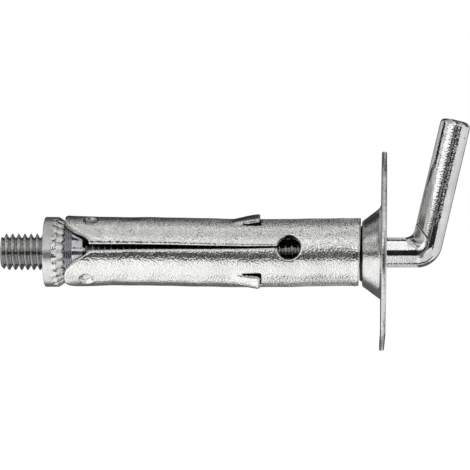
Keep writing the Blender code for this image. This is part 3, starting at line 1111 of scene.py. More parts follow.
@dataclass
class ConeNut:
    """The turned nut: land, knurled shoulder, turned rings, the cone and its lip."""

    shop: FinishShop
    collar_radius: float = 5.65 * MM
    valley_radius: float = 4.35 * MM
    tooth_end_radius: float = 4.85 * MM
    ring_radius: float = 4.72 * MM
    face_shift: float = -0.22 * MM
    land: float = 1.15 * MM
    collar_length: float = 3.25 * MM
    cone_radius: float = 4.6 * MM
    cone_end_radius: float = 4.25 * MM
    lip_radius: float = 3.8 * MM
    ring_length: float = 1.2 * MM
    cone_length: float = 2.85 * MM
    lip_length: float = 0.5 * MM
    bore_radius: float = 3.15 * MM
    rings: int = 4
    ring_groove_width: float = 0.04 * MM
    ring_groove_depth: float = 0.06 * MM
    ring_crown: float = 0.03 * MM
    ring_crown_span: Pair = (0.35, 0.75)
    ring_shade_lead: float = 0.3 * MM
    face_fillet: float = 0.2 * MM
    land_fillet: float = 0.1 * MM
    land_under_teeth: float = 0.12 * MM
    valley_length: float = 0.25 * MM
    cone_fillet: float = 0.06 * MM
    lip_fillet: float = 0.08 * MM
    sharp_angle: float = math.radians(38.0)
    teeth: int = 22
    tooth_start: float = 0.1 * MM
    tooth_groove: float = 0.42 * MM
    tooth_slant: float = math.radians(2.0)
    crest_share: float = 0.45
    tooth_steps: tuple[int, int, int] = (25, 17, 2)
    tooth_overlap: float = 1.01
    tooth_taper: float = 0.12
    tooth_tip_start: float = 0.8
    tooth_tip_narrowing: float = 0.5
    tooth_tip_round: float = 0.25 * MM
    tooth_root: float = 0.3 * MM
    groove_edge_power: float = 2.6
    groove_length_power: float = 0.7
    tooth_sharp_angle: float = math.radians(50.0)
    sides: int = 192
    fillet_steps: int = 6
    longest_edge: float = 0.3 * MM

    def __post_init__(self) -> None:
        """Take the nut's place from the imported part."""
        self.face_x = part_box("cone_nut")[0].x
        self.shoulder_x = self.face_x + self.collar_length

    def ring_corners(self) -> list[tuple[float, float, float]]:
        """Draw the fine rings that the turning tool leaves.

        Returns:
            Their corners as (x, r, fillet radius).
        """
        step_length = self.ring_length / self.rings
        crown = self.ring_radius + self.ring_crown
        corners = []
        for ring in range(self.rings):
            x = self.shoulder_x + step_length * ring
            corners.append((x + self.ring_groove_width, self.ring_radius - self.ring_groove_depth, 0.0))
            corners += [(x + step_length * share, crown, self.ring_crown) for share in self.ring_crown_span]
        return corners

    def outline(self) -> list[Pair]:
        """Draw the nut's section.

        Returns:
            The closed section as (x, r) points.
        """
        face = self.face_x + self.face_shift
        cone_end = self.shoulder_x + self.cone_length
        end = cone_end + self.lip_length
        corners = [
            (face, self.bore_radius, 0.0),
            (face, self.collar_radius, self.face_fillet),
            (self.face_x + self.land + self.land_under_teeth, self.collar_radius, self.land_fillet),
            (self.shoulder_x - self.valley_length, self.valley_radius, 0.0),
            (self.shoulder_x, self.valley_radius, 0.0),
            *self.ring_corners(),
            (self.shoulder_x + self.ring_length, self.cone_radius, self.cone_fillet),
            (cone_end, self.cone_end_radius, self.cone_fillet),
            (end, self.lip_radius, self.lip_fillet),
            (end, self.bore_radius, 0.0),
        ]
        return divided(rounded_outline(corners, self.fillet_steps), self.longest_edge)

    def build_body(self) -> bpy.types.Object:
        """Build the turned body of the nut, with its cone polished and its rings darkened as painted shade.

        Returns:
            The nut without its knurl.
        """
        points, faces = turned(self.outline(), self.sides)
        nut = new_object("turned_nut", points, faces, self.shop.get(Finish.NUT))
        nut.data.materials.append(self.shop.get(Finish.RINGS_PAINTED_SHADE))
        nut.data.materials.append(self.shop.get(Finish.CONE))
        # Painted shade: faces from just before the shoulder up to the cone take the dark ring finish.
        starts = (self.shoulder_x - self.ring_shade_lead, self.shoulder_x + self.ring_length)
        for face in nut.data.polygons:
            face.material_index = sum(face.center.x > start for start in starts)
        nut.data.set_sharp_from_angle(angle=self.sharp_angle)
        return nut

    def tooth_radius(self, maker: GeometryMaker, share: Socket, late: Socket, across: Socket) -> Socket:
        """Work out how far a tooth's face stands off the axis.

        Args:
            maker: The knurl's tree.
            share: The place along the tooth, from 0 at the land to 1.
            late: The place along its tip, from 0 to 1.
            across: The place across it, from -1 to 1.

        Returns:
            The radius.
        """
        desk = maker.desk
        past_crest = desk.math("MAXIMUM", desk.minus(share, maker.size("Crest Share")), 0.0)
        fall = desk.over(past_crest, desk.minus(1.0, maker.size("Crest Share")))
        drop = desk.minus(maker.size("Collar Radius"), maker.size("End Radius"))
        crest = desk.minus(maker.size("Collar Radius"), desk.times(fall, drop))
        edge = desk.math("POWER", desk.math("ABSOLUTE", across), self.groove_edge_power)
        deepening = desk.math("POWER", share, self.groove_length_power)
        groove = desk.times(desk.times(edge, maker.size("Groove")), deepening)
        tip_round = desk.times(desk.math("POWER", late, 3.0), self.tooth_tip_round)
        return desk.minus(desk.minus(crest, groove), tip_round)

    def tooth(self, maker: GeometryMaker) -> Socket:
        """Bend a block into one tooth.

        Args:
            maker: The knurl's tree.

        Returns:
            The tooth, in its place above the axis.
        """
        desk = maker.desk
        block = desk.add("GeometryNodeMeshCube")
        for axis, count in zip("XYZ", self.tooth_steps):
            block.inputs[f"Vertices {axis}"].default_value = count
        x, y, z = desk.split(desk.add("GeometryNodeInputPosition").outputs[0])
        share = desk.plus(x, 0.5)
        across = desk.times(y, 2.0)
        late = desk.remap(share, (self.tooth_tip_start, 1.0), (0.0, 1.0))
        tip_narrowing = desk.times(desk.math("POWER", late, 2.0), self.tooth_tip_narrowing)
        narrow = desk.minus(desk.minus(1.0, tip_narrowing), desk.times(share, self.tooth_taper))
        half = desk.over(math.pi * self.tooth_overlap, maker.size("Teeth"))
        turn = desk.times(desk.times(across, half), narrow)
        turn = desk.plus(turn, desk.times(maker.size("Slant"), share))
        top = self.tooth_radius(maker, share, late, across)
        root = desk.minus(maker.size("Valley Radius"), self.tooth_root)
        radius = desk.blend(desk.math("GREATER_THAN", z, 0.0), root, top)
        bend = desk.add("GeometryNodeSetPosition")
        desk.feed(bend.inputs["Geometry"], block.outputs["Mesh"])
        desk.feed(bend.inputs["Position"], desk.join(
            desk.plus(maker.size("Start"), desk.times(maker.size("Length"), share)),
            desk.times(radius, desk.math("SINE", turn)),
            desk.times(radius, desk.math("COSINE", turn)),
        ))
        return bend.outputs[0]

    def build_knurl(self) -> bpy.types.Object:
        """Build the teeth that the knurling wheel leaves, one bent block for each.

        Returns:
            The ring of teeth.
        """
        maker = GeometryMaker("knurl_teeth", {
            "Start": self.face_x + self.land - self.tooth_start,
            "Length": self.collar_length - self.land + self.tooth_start,
            "Collar Radius": self.collar_radius,
            "End Radius": self.tooth_end_radius,
            "Valley Radius": self.valley_radius,
            "Groove": self.tooth_groove,
            "Crest Share": self.crest_share,
            "Slant": self.tooth_slant,
            "Teeth": self.teeth,
        }, self.shop.get(Finish.KNURL))
        desk = maker.desk
        tooth = self.tooth(maker)
        points = desk.add("GeometryNodeMeshLine", mode="OFFSET")
        desk.feed(points.inputs["Count"], maker.size("Teeth"))
        points.inputs["Offset"].default_value = (0.0, 0.0, 0.0)
        around = desk.add("GeometryNodeInstanceOnPoints")
        desk.feed(around.inputs["Points"], points.outputs["Mesh"])
        desk.feed(around.inputs["Instance"], tooth)
        index = desk.add("GeometryNodeInputIndex").outputs[0]
        step = desk.over(math.tau, maker.size("Teeth"))
        desk.feed(around.inputs["Rotation"], desk.join(desk.times(index, step), 0.0, 0.0))
        knurl = maker.finish(around.outputs["Instances"])
        knurl.data.set_sharp_from_angle(angle=self.tooth_sharp_angle)
        return knurl

    def build(self) -> list[bpy.types.Object]:
        """Build the nut and its knurl and let them ride on the nut's body.

        Returns:
            The nut and its knurl.
        """
        nut = self.build_body()
        knurl = self.build_knurl()
        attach(nut, "nut")
        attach(knurl, "nut")
        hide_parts("cone_nut")
        return [nut, knurl]


# Sleeve


@dataclass
class Blank:
    """The flat sheet of the sleeve, in (along, around) metres, with its cuts."""

    length: float = 47.3 * MM
    middle_radius: float = 4.98 * MM
    segments: int = 3
    slot_turn: float = math.radians(10.0)
    lobe_shift: tuple[float, ...] = (math.radians(-3.0), math.radians(0.8), 0.0)
    notch_shift: float = math.radians(2.5)
    mouth_slot: float = 0.98 * MM
    end_slot: float = 0.33 * MM
    hole_radius: float = 1.9 * MM
    hole_from_end: float = 11.25 * MM
    notch_depth: float = 4.15 * MM
    notch_shape: Pair = (1.0, 1.42)
    notch_blend: Pair = (0.78, 0.3)
    barb_width: float = 2.3 * MM
    barb_cut: float = 2.75 * MM
    barb_ramp: float = 4.45 * MM
    barb_from_end: float = 15.95 * MM
    barb_corner: float = 0.5 * MM
    kerf: float = 0.21 * MM
    tip_kerf: float = 0.14 * MM
    dimple_radius: float = 1.2 * MM
    dimples: tuple[Pair, ...] = ((3.5, -53.0), (4.1, 64.0), (3.7, 190.0))
    step_along: float = 0.42 * MM
    step_around: float = 0.27 * MM
    fine_step: float = 0.13 * MM
    fine_stretch: float = 1.3
    fine_stagger: float = 0.65
    dimple_zone: tuple[float, float, float] = (3.8 * MM, 1.7 * MM, 1.8 * MM)
    barb_margins: tuple[float, float, float] = (0.5 * MM, 1.0 * MM, 2.0 * MM)
    edge_rounds: tuple[float, ...] = (0.04 * MM, 0.1 * MM, 0.18 * MM, 0.28 * MM, 0.4 * MM, 0.55 * MM)
    edge_margin: float = 0.06 * MM
    edge_clearance: float = 0.93
    longest_edge: float = 0.3 * MM
    mouth_steps: int = 72
    hole_steps: int = 60
    corner_steps: int = 8
    merge: float = 1e-5

    def __post_init__(self) -> None:
        """Work out the places of the slots and the barbs."""
        self.pitch = math.tau * self.middle_radius / self.segments
        self.seam = self.slot_turn * self.middle_radius - self.pitch
        self.high = self.seam + self.pitch * self.segments
        self.hole_at = self.length - self.hole_from_end
        self.barb_tip = self.length - self.barb_from_end

    def centre(self, segment: int) -> float:
        """Return the middle of a segment, around the sheet."""
        return self.seam + self.pitch * (segment + 0.5) + self.lobe_shift[segment] * self.middle_radius

    def mouth(self, around: float) -> float:
        """Return how far the lobed mouth edge is cut back.

        Args:
            around: The place around the sheet.

        Returns:
            The distance from the foremost point of the mouth.
        """
        segment = min(max(math.floor((around - self.seam) / self.pitch), 0), self.segments - 1)
        centre = self.centre(segment)
        line = self.seam + self.pitch * (segment + (around > centre))
        notch = line + self.notch_shift * self.middle_radius
        off_centre = min((around - centre) / (notch - centre), 1.0)
        inner, outer = self.notch_shape
        blend_end, blend_run = self.notch_blend
        power = inner + (outer - inner) * float(smooth_ramp((blend_end - off_centre) / blend_run))
        return self.notch_depth * (0.5 - 0.5 * math.cos(math.pi * off_centre**power))

    def keyhole(self, line: float) -> list[Pair]:
        """Draw the round hole that ends a slot, open to the slot.

        Args:
            line: The slot's place around the sheet.

        Returns:
            The hole's edge, from the slot's lower edge round to its upper one.
        """
        opening = math.asin(self.end_slot / 2 / self.hole_radius)
        edge = []
        for step in range(self.hole_steps + 1):
            turn = math.pi + opening + (math.tau - 2 * opening) * step / self.hole_steps
            edge.append((
                self.hole_at + self.hole_radius * math.cos(turn),
                line + self.hole_radius * math.sin(turn),
            ))
        return edge

    def outline(self) -> list[Pair]:
        """Draw the blank's outer edge, with the slots and their holes open to the mouth.

        Returns:
            The closed edge as (along, around) points.
        """
        edge: list[Pair] = []
        reach = self.pitch / 2 - self.mouth_slot / 2
        for segment in range(self.segments):
            for step in range(self.mouth_steps + 1):
                start = self.seam + self.pitch * (segment + 0.5) - reach
                around = start + 2 * reach * step / self.mouth_steps
                edge.append((self.mouth(around), around))
            if segment < self.segments - 1:
                edge += self.keyhole(self.seam + self.pitch * (segment + 1))
        low = self.seam + self.end_slot / 2
        high = self.high - self.end_slot / 2
        edge += [(self.hole_at, high), (self.length, high), (self.length, low), (self.hole_at, low)]
        return edge

    def barb_cut_line(self, segment: int) -> list[Pair]:
        """Draw the U-shaped cut that frees a barb on both sides and at its tip.

        Args:
            segment: The segment that the barb is on.

        Returns:
            The cut's closed edge as (along, around) points.
        """
        middle = self.centre(segment)
        half = self.barb_width / 2
        start = self.barb_tip - self.barb_cut
        line = [
            (start, middle - half - self.kerf),
            (self.barb_tip + self.tip_kerf, middle - half - self.kerf),
            (self.barb_tip + self.tip_kerf, middle + half + self.kerf),
            (start, middle + half + self.kerf),
            (start, middle + half),
        ]
        for side in (1, -1):
            for step in range(self.corner_steps + 1):
                share = step if side > 0 else self.corner_steps - step
                turn = math.pi / 2 * (1 - share / self.corner_steps)
                line.append((
                    self.barb_tip - self.barb_corner * (1 - math.cos(turn)),
                    middle + side * (half - self.barb_corner * (1 - math.sin(turn))),
                ))
        line.append((start, middle - half))
        return line

    def loops(self) -> list[np.ndarray]:
        """Return every edge of the sheet as a closed run of close points, the outline first."""
        lines = [self.outline()] + [self.barb_cut_line(segment) for segment in range(self.segments)]
        return [np.array(divided(line, self.longest_edge)) for line in lines]

    @staticmethod
    def within(places: np.ndarray, loop: np.ndarray) -> np.ndarray:
        """Tell which places lie inside a closed loop.

        Args:
            places: The places on the sheet.
            loop: The loop's points.

        Returns:
            True for each place inside it.
        """
        result = np.zeros(len(places), bool)
        x, y = places[:, 0], places[:, 1]
        for (x0, y0), (x1, y1) in zip(loop, np.roll(loop, -1, axis=0)):
            crosses = (y0 > y) != (y1 > y)
            if y1 != y0:
                result ^= crosses & (x < (x1 - x0) * (y - y0) / (y1 - y0) + x0)
        return result

    def on_sheet(self, places: np.ndarray, loops: Sequence[np.ndarray]) -> np.ndarray:
        """Tell which places lie inside the outline and outside every cut.

        Args:
            places: The places to look at.
            loops: The edges of the sheet, the outline first.

        Returns:
            True for each place on the sheet.
        """
        kept = self.within(places, loops[0])
        for loop in loops[1:]:
            kept &= ~self.within(places, loop)
        return kept

    @staticmethod
    def edge_distance(places: np.ndarray, loops: Sequence[np.ndarray]) -> np.ndarray:
        """Measure how far each place is from the nearest edge of the sheet.

        Args:
            places: The places on the sheet.
            loops: The edges of the sheet.

        Returns:
            The distance of each place.
        """
        nearest = np.full(len(places), 1.0)
        for loop in loops:
            for start, end in zip(loop, np.roll(loop, -1, axis=0)):
                run = end - start
                span = max(float(run @ run), 1e-18)
                share = np.clip(((places - start) @ run) / span, 0.0, 1.0)
                away = places - start - share[:, None] * run
                nearest = np.minimum(nearest, np.hypot(away[:, 0], away[:, 1]))
        return nearest

    def fine_zones(self) -> list[tuple[float, float, float, float]]:
        """List the parts of the sheet that get finer points: the dimples and the barbs.

        Returns:
            Each zone's middle and reach along the sheet, and its middle and reach around it.
        """
        dimple_at, dimple_reach, dimple_half = self.dimple_zone
        before, after, barb_half = self.barb_margins
        start = self.barb_tip - self.barb_ramp - before
        end = self.barb_tip + after
        zones = []
        for segment in range(self.segments):
            around = self.centre(segment)
            zones.append((dimple_at, dimple_reach, around, dimple_half))
            zones.append(((start + end) / 2, (end - start) / 2, around, barb_half))
        return zones

    def edge_rows(self, loops: Sequence[np.ndarray]) -> list[np.ndarray]:
        """Lay rows of points along both sides of every edge.

        Args:
            loops: The edges of the sheet.

        Returns:
            The points of each row.
        """
        rows = []
        for loop in loops:
            run = np.roll(loop, -1, axis=0) - np.roll(loop, 1, axis=0)
            normal = np.stack([-run[:, 1], run[:, 0]], axis=1) / np.linalg.norm(run, axis=1)[:, None]
            for depth in self.edge_rounds:
                for side in (1.0, -1.0):
                    moved = loop + normal * depth * side
                    good = self.edge_distance(moved, loops) > depth * self.edge_clearance
                    rows.append(moved[good])
        return rows

    def fill_points(self, loops: Sequence[np.ndarray]) -> np.ndarray:
        """Lay the points between the edges: a grid, finer zones and rows along the edges.

        Args:
            loops: The edges of the sheet.

        Returns:
            The points, some of them still off the sheet.
        """
        rows = np.arange(0.0, self.length, self.step_along)
        columns = np.arange(self.seam, self.high, self.step_around)
        coarse = np.array([
            (along + self.step_along / 2 * (index % 2), around)
            for index, around in enumerate(columns) for along in rows
        ])
        fine = []
        near = np.zeros(len(coarse), bool)
        for at, reach, middle, half in self.fine_zones():
            for index, around in enumerate(np.arange(middle - half, middle + half, self.fine_step)):
                for along in np.arange(at - reach, at + reach, self.fine_step * self.fine_stretch):
                    fine.append((along + self.fine_step * self.fine_stagger * (index % 2), around))
            close = np.abs(coarse[:, 0] - at) < reach
            near |= close & (np.abs(coarse[:, 1] - middle) < half)
        places = np.concatenate([coarse[~near], np.array(fine)])
        clear = self.edge_distance(places, loops) > self.edge_rounds[-1] + self.edge_margin
        return np.concatenate([places[clear], *self.edge_rows(loops)])

    def sheet(self) -> tuple[np.ndarray, list[Face], np.ndarray]:
        """Triangulate the sheet.

        Returns:
            The points, the triangles and each point's distance from an edge.
        """
        loops = self.loops()
        places = self.fill_points(loops)
        places = places[self.on_sheet(places, loops)]
        points: list[Pair] = []
        edges = []
        for loop in loops:
            first = len(points)
            points += [tuple(point) for point in loop]
            count = len(loop)
            edges += [(first + index, first + (index + 1) % count) for index in range(count)]
        points += [tuple(point) for point in places]
        flat = [Vector((along / MM, around / MM)) for along, around in points]
        out, _, faces, *_ = delaunay_2d_cdt(flat, edges, [], 0, self.merge)
        out = np.array([(point.x * MM, point.y * MM) for point in out])
        middles = np.array([np.mean(out[list(face)], axis=0) for face in faces])
        faces = [face for face, keep in zip(faces, self.on_sheet(middles, loops)) if keep]
        return out, faces, self.edge_distance(out, loops)


@dataclass
class ExpansionSleeve:
    """The rolled sheet sleeve with its lobed, splayed mouth, slots, dimples and barbs."""

    shop: FinishShop
    blank: Blank = field(default_factory=Blank)
    outer_radius: float = 5.48 * MM
    wall: float = 1.0 * MM
    mouth_radii: tuple[float, ...] = (5.7 * MM, 5.93 * MM, 5.8 * MM)
    splay_length: float = 10.5 * MM
    end_flare: float = 0.06 * MM
    end_flare_run: float = 1.2 * MM
    end_slant: float = 0.2 * MM
    end_slant_run: float = 4.0 * MM
    mouth_round: float = 0.46 * MM
    mouth_round_reach: float = 1.2 * MM
    mouth_round_fade: float = 1.2
    edge_round: float = 0.2 * MM
    barb_wall: float = 0.5 * MM
    barb_lift: float = 0.98 * MM
    barb_spread: float = 0.5 * MM
    barb_curl: float = 0.12
    barb_curl_power: int = 6
    barb_overrun: float = 1.05
    dimple_depth: float = 0.4 * MM
    dimple_floor: float = 0.6
    slot_slant: float = math.radians(5.0)
    slot_wander: float = 1.3 * MM
    slot_pivot: float = 0.75
    curve_degree: int = 5
    bow: tuple[Pair, ...] = (
        (0.0, 0.0), (4.5, 0.06), (11.6, 0.14), (19.7, 0.0),
        (25.2, -0.1), (34.8, -0.1), (42.9, 0.02), (47.1, 0.05),
    )
    girth: tuple[Pair, ...] = (
        (0.0, 0.0), (6.0, 0.02), (12.0, 0.04), (25.0, 0.04), (34.8, 0.0), (42.9, -0.02), (47.1, -0.04),
    )
    waviness: float = 0.025 * MM
    ripple: Pair = (0.83 * MM, 1.7 * MM)
    ripple_swing: float = 2.1
    slanted_ripple: Pair = (1.31 * MM, 1.9 * MM)
    slanted_ripple_phase: float = 1.3
    slit_margin: float = 0.2 * MM
    slit_ahead: float = 0.5 * MM
    slit_radius: float = 5.2 * MM
    inward: float = -0.5
    steep: float = 0.5
    cut_steep: float = 0.6
    cut_reach: float = 0.9
    sharp_angle: float = math.radians(50.0)

    def __post_init__(self) -> None:
        """Take the sleeve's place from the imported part."""
        self.mouth_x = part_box("expansion_sleeve")[0].x

    def lift(self, along: np.ndarray, around: np.ndarray) -> np.ndarray:
        """Return how far the forming tools move the sheet out, or in where it is negative.

        Args:
            along: Places along the sheet.
            around: Places around it.

        Returns:
            The move of each place, in metres.
        """
        blank = self.blank
        total = np.zeros(len(along))
        start = blank.barb_tip - blank.barb_ramp
        cut = blank.barb_tip - blank.barb_cut
        half = blank.barb_width / 2
        for segment in range(blank.segments):
            off = np.abs(around - blank.centre(segment))
            spread = smooth_ramp((half + self.barb_spread / 2 - off) / self.barb_spread)
            free = (off < half + blank.kerf / 2) & (along < blank.barb_tip + blank.tip_kerf / 2)
            climb = np.clip((along - start) / blank.barb_ramp, 0.0, self.barb_overrun)
            rise = self.barb_lift * (climb - self.barb_curl * climb**self.barb_curl_power)
            held = self.barb_lift * (cut - start) / blank.barb_ramp
            settled = held * spread * smooth_ramp(1 - (along - cut) / (2 * self.barb_spread))
            total += np.where(free & (along > cut), rise, np.where(along <= cut, rise * spread, settled))
            place, turn = blank.dimples[segment]
            off = around - math.radians(turn) * blank.middle_radius
            dimple = np.hypot(along - place * MM, off) / blank.dimple_radius
            total -= self.dimple_depth * smooth_ramp((1 - dimple) / (1 - self.dimple_floor))
        return total

    def waves(self, along: np.ndarray, around: np.ndarray) -> np.ndarray:
        """Work out the faint unevenness of the rolled sheet.

        Args:
            along: Places along the sheet.
            around: Places around it.

        Returns:
            The height of each place, from -2 to 2.
        """
        length, width = self.ripple
        wave = np.sin(along / length + self.ripple_swing * np.sin(around / width))
        length, width = self.slanted_ripple
        return wave + np.sin(along / length - around / width + self.slanted_ripple_phase)

    def shape(self, along: np.ndarray, around: np.ndarray, depth: np.ndarray) -> np.ndarray:
        """Roll flat places up into the sleeve.

        Args:
            along: Places along the sheet, from the mouth.
            around: Places around it.
            depth: How far each lies under the outer face.

        Returns:
            The places in space.
        """
        blank = self.blank
        share = np.maximum(1 - along / self.splay_length, 0.0)
        segment = np.clip(((around - blank.seam) / blank.pitch).astype(int), 0, blank.segments - 1)
        splay = (np.array(self.mouth_radii)[segment] - self.outer_radius) * share * share
        flare = self.end_flare * np.maximum(1 - (blank.length - along) / self.end_flare_run, 0.0)
        radius = self.outer_radius + splay + flare + self.lift(along, around) - depth
        radius += self.waviness * self.waves(along, around) / 2
        radius += self.along_curve(self.girth, along)
        slant = np.zeros(len(along))
        wander = self.slot_slant * (np.clip(along / blank.hole_at, 0.0, 1.0) - self.slot_pivot)
        for slot in range(blank.segments + 1):
            off = np.abs(around - blank.seam - blank.pitch * slot)
            slant += wander * smooth_ramp(1 - off / self.slot_wander)
        turn = around / blank.middle_radius + slant
        ended = smooth_ramp((along - blank.length + self.end_slant_run) / self.end_slant_run)
        return np.stack([
            self.mouth_x + along + self.end_slant * np.sin(turn) * ended,
            -radius * np.cos(turn),
            radius * np.sin(turn) + self.along_curve(self.bow, along),
        ], axis=1)

    def in_slit(self, place: Vector) -> bool:
        """Tell whether a place lies by the cut round a barb.

        Args:
            place: The place on the rolled sleeve.

        Returns:
            True close to the cut, and on the barb that it frees.
        """
        blank = self.blank
        along = place.x - self.mouth_x - blank.barb_tip
        turn = math.atan2(place.z, -place.y)
        reach = (blank.barb_width / 2 + blank.kerf + self.slit_margin) / blank.middle_radius
        for segment in range(blank.segments):
            off = turn - blank.centre(segment) / blank.middle_radius
            if abs(math.remainder(off, math.tau)) < reach:
                return -blank.barb_cut - self.slit_margin < along < self.slit_ahead
        return False

    def along_curve(self, stations: Sequence[Pair], along: np.ndarray) -> np.ndarray:
        """Return a smooth curve through stations given in millimetres, at places along the sheet."""
        at, value = np.array(stations).T
        return np.polyval(np.polyfit(at, value, self.curve_degree), along / MM) * MM

    def edge_depth(self, along: np.ndarray, around: np.ndarray, away: np.ndarray) -> np.ndarray:
        """Work out how the outer face rounds off towards the cut edges.

        Args:
            along: Places along the sheet.
            around: Places around it.
            away: Each place's distance from an edge.

        Returns:
            How far each place lies under the outer face.
        """
        blank = self.blank
        off_slot = np.abs((around - blank.seam + blank.pitch / 2) % blank.pitch - blank.pitch / 2)
        fade = np.clip(self.mouth_round_fade - along / blank.hole_at, 0.0, 1.0)
        wide = (off_slot < self.mouth_round_reach) * fade
        edge = self.edge_round + (self.mouth_round - self.edge_round) * wide
        inset = np.clip(1.0 - away / edge, 0.0, 1.0)
        return edge * inset * inset / 2

    def on_barb(self, along: np.ndarray, around: np.ndarray) -> np.ndarray:
        """Tell which places lie on the free part of a barb.

        Args:
            along: Places along the sheet.
            around: Places around it.

        Returns:
            True for each place on one.
        """
        blank = self.blank
        end = blank.barb_tip + blank.tip_kerf / 2
        reach = blank.barb_width / 2 + blank.kerf / 2
        aside = [np.abs(around - blank.centre(segment)) < reach for segment in range(blank.segments)]
        return (along > blank.barb_tip - blank.barb_cut) & (along < end) & np.any(aside, axis=0)

    @staticmethod
    def walled(faces: Sequence[Sequence[int]], count: int) -> list[Face]:
        """Give a sheet its second face and a wall along each open edge.

        Args:
            faces: The triangles of the outer face.
            count: The number of its points, which the inner face repeats.

        Returns:
            The faces of the closed sheet.
        """
        result = [tuple(face) for face in faces]
        result += [tuple(index + count for index in reversed(face)) for face in faces]
        once: dict[Face, Face | None] = {}
        for face in faces:
            for start, end in zip(face, face[1:] + face[:1]):
                key = (min(start, end), max(start, end))
                once[key] = None if key in once else (start, end)
        for start, end in filter(None, once.values()):
            result.append((end, start, start + count, end + count))
        return result

    def paint_shade_and_cut_faces(self, sleeve: bpy.types.Object) -> None:
        """Paint shade on the inside and on the barbs' slits with the dark finish, and give the cut edges of
        the mouth their own finish.

        Args:
            sleeve: The rolled sleeve.
        """
        sleeve.data.materials.append(self.shop.get(Finish.PAINTED_SHADE))
        sleeve.data.materials.append(self.shop.get(Finish.CUT))
        cut_end = self.mouth_x + self.blank.notch_depth * self.cut_reach
        for face in sleeve.data.polygons:
            centre = face.center
            facing = face.normal.dot(Vector((0.0, centre.y, centre.z)).normalized())
            deep = math.hypot(centre.y, centre.z) < self.slit_radius
            # Painted shade: inward faces, and steep deep faces in the barbs' slits, take the dark finish.
            shaded = facing < self.inward or (facing < self.steep and self.in_slit(centre) and deep)
            cut = not shaded and facing < self.cut_steep and centre.x < cut_end
            face.material_index = 1 if shaded else 2 * int(cut)
        sleeve.data.set_sharp_from_angle(angle=self.sharp_angle)

    def build(self) -> list[bpy.types.Object]:
        """Build the sleeve as one sheet with two faces and rounded cut edges, and let it ride.

        Returns:
            The sleeve alone.
        """
        places, faces, away = self.blank.sheet()
        along, around = places[:, 0], places[:, 1]
        outer = self.shape(along, around, self.edge_depth(along, around, away))
        wall = np.where(self.on_barb(along, around), self.barb_wall, self.wall)
        points = np.concatenate([outer, self.shape(along, around, wall)])
        skin = self.shop.get(Finish.SLEEVE)
        sleeve = new_object("rolled_sleeve", points, self.walled(faces, len(places)), skin, FINE_WELD)
        self.paint_shade_and_cut_faces(sleeve)
        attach(sleeve, "sleeve")
        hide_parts("expansion_sleeve")
        return [sleeve]


# Studio


@dataclass(frozen=True)
class Patch:
    """A soft-edged part of the surroundings: a card, a lamp or a dark corner of the room.

    Raised turns about the X axis from the front, through straight up, to the back at 180
    degrees. Sideways is the angle towards +X.
    """

    level: float
    raised: Pair
    sideways: Pair = (-95.0, 95.0)
    soft: float = 6.0

    def paint(self, desk: NodeDesk, raised: object, sideways: object, under: object) -> Socket:
        """Lay the patch over what is there.

        Args:
            desk: The desk of the world's tree.
            raised: The raised angle of a direction.
            sideways: The sideways angle of a direction.
            under: The level of what lies under the patch.

        Returns:
            The level with the patch.
        """
        cover = 1.0
        for angle, (low, high) in ((raised, self.raised), (sideways, self.sideways)):
            middle, half = (low + high) / 2, (high - low) / 2
            cover = desk.times(cover, desk.window(angle, middle, half, self.soft))
        return desk.blend(cover, under, self.level)


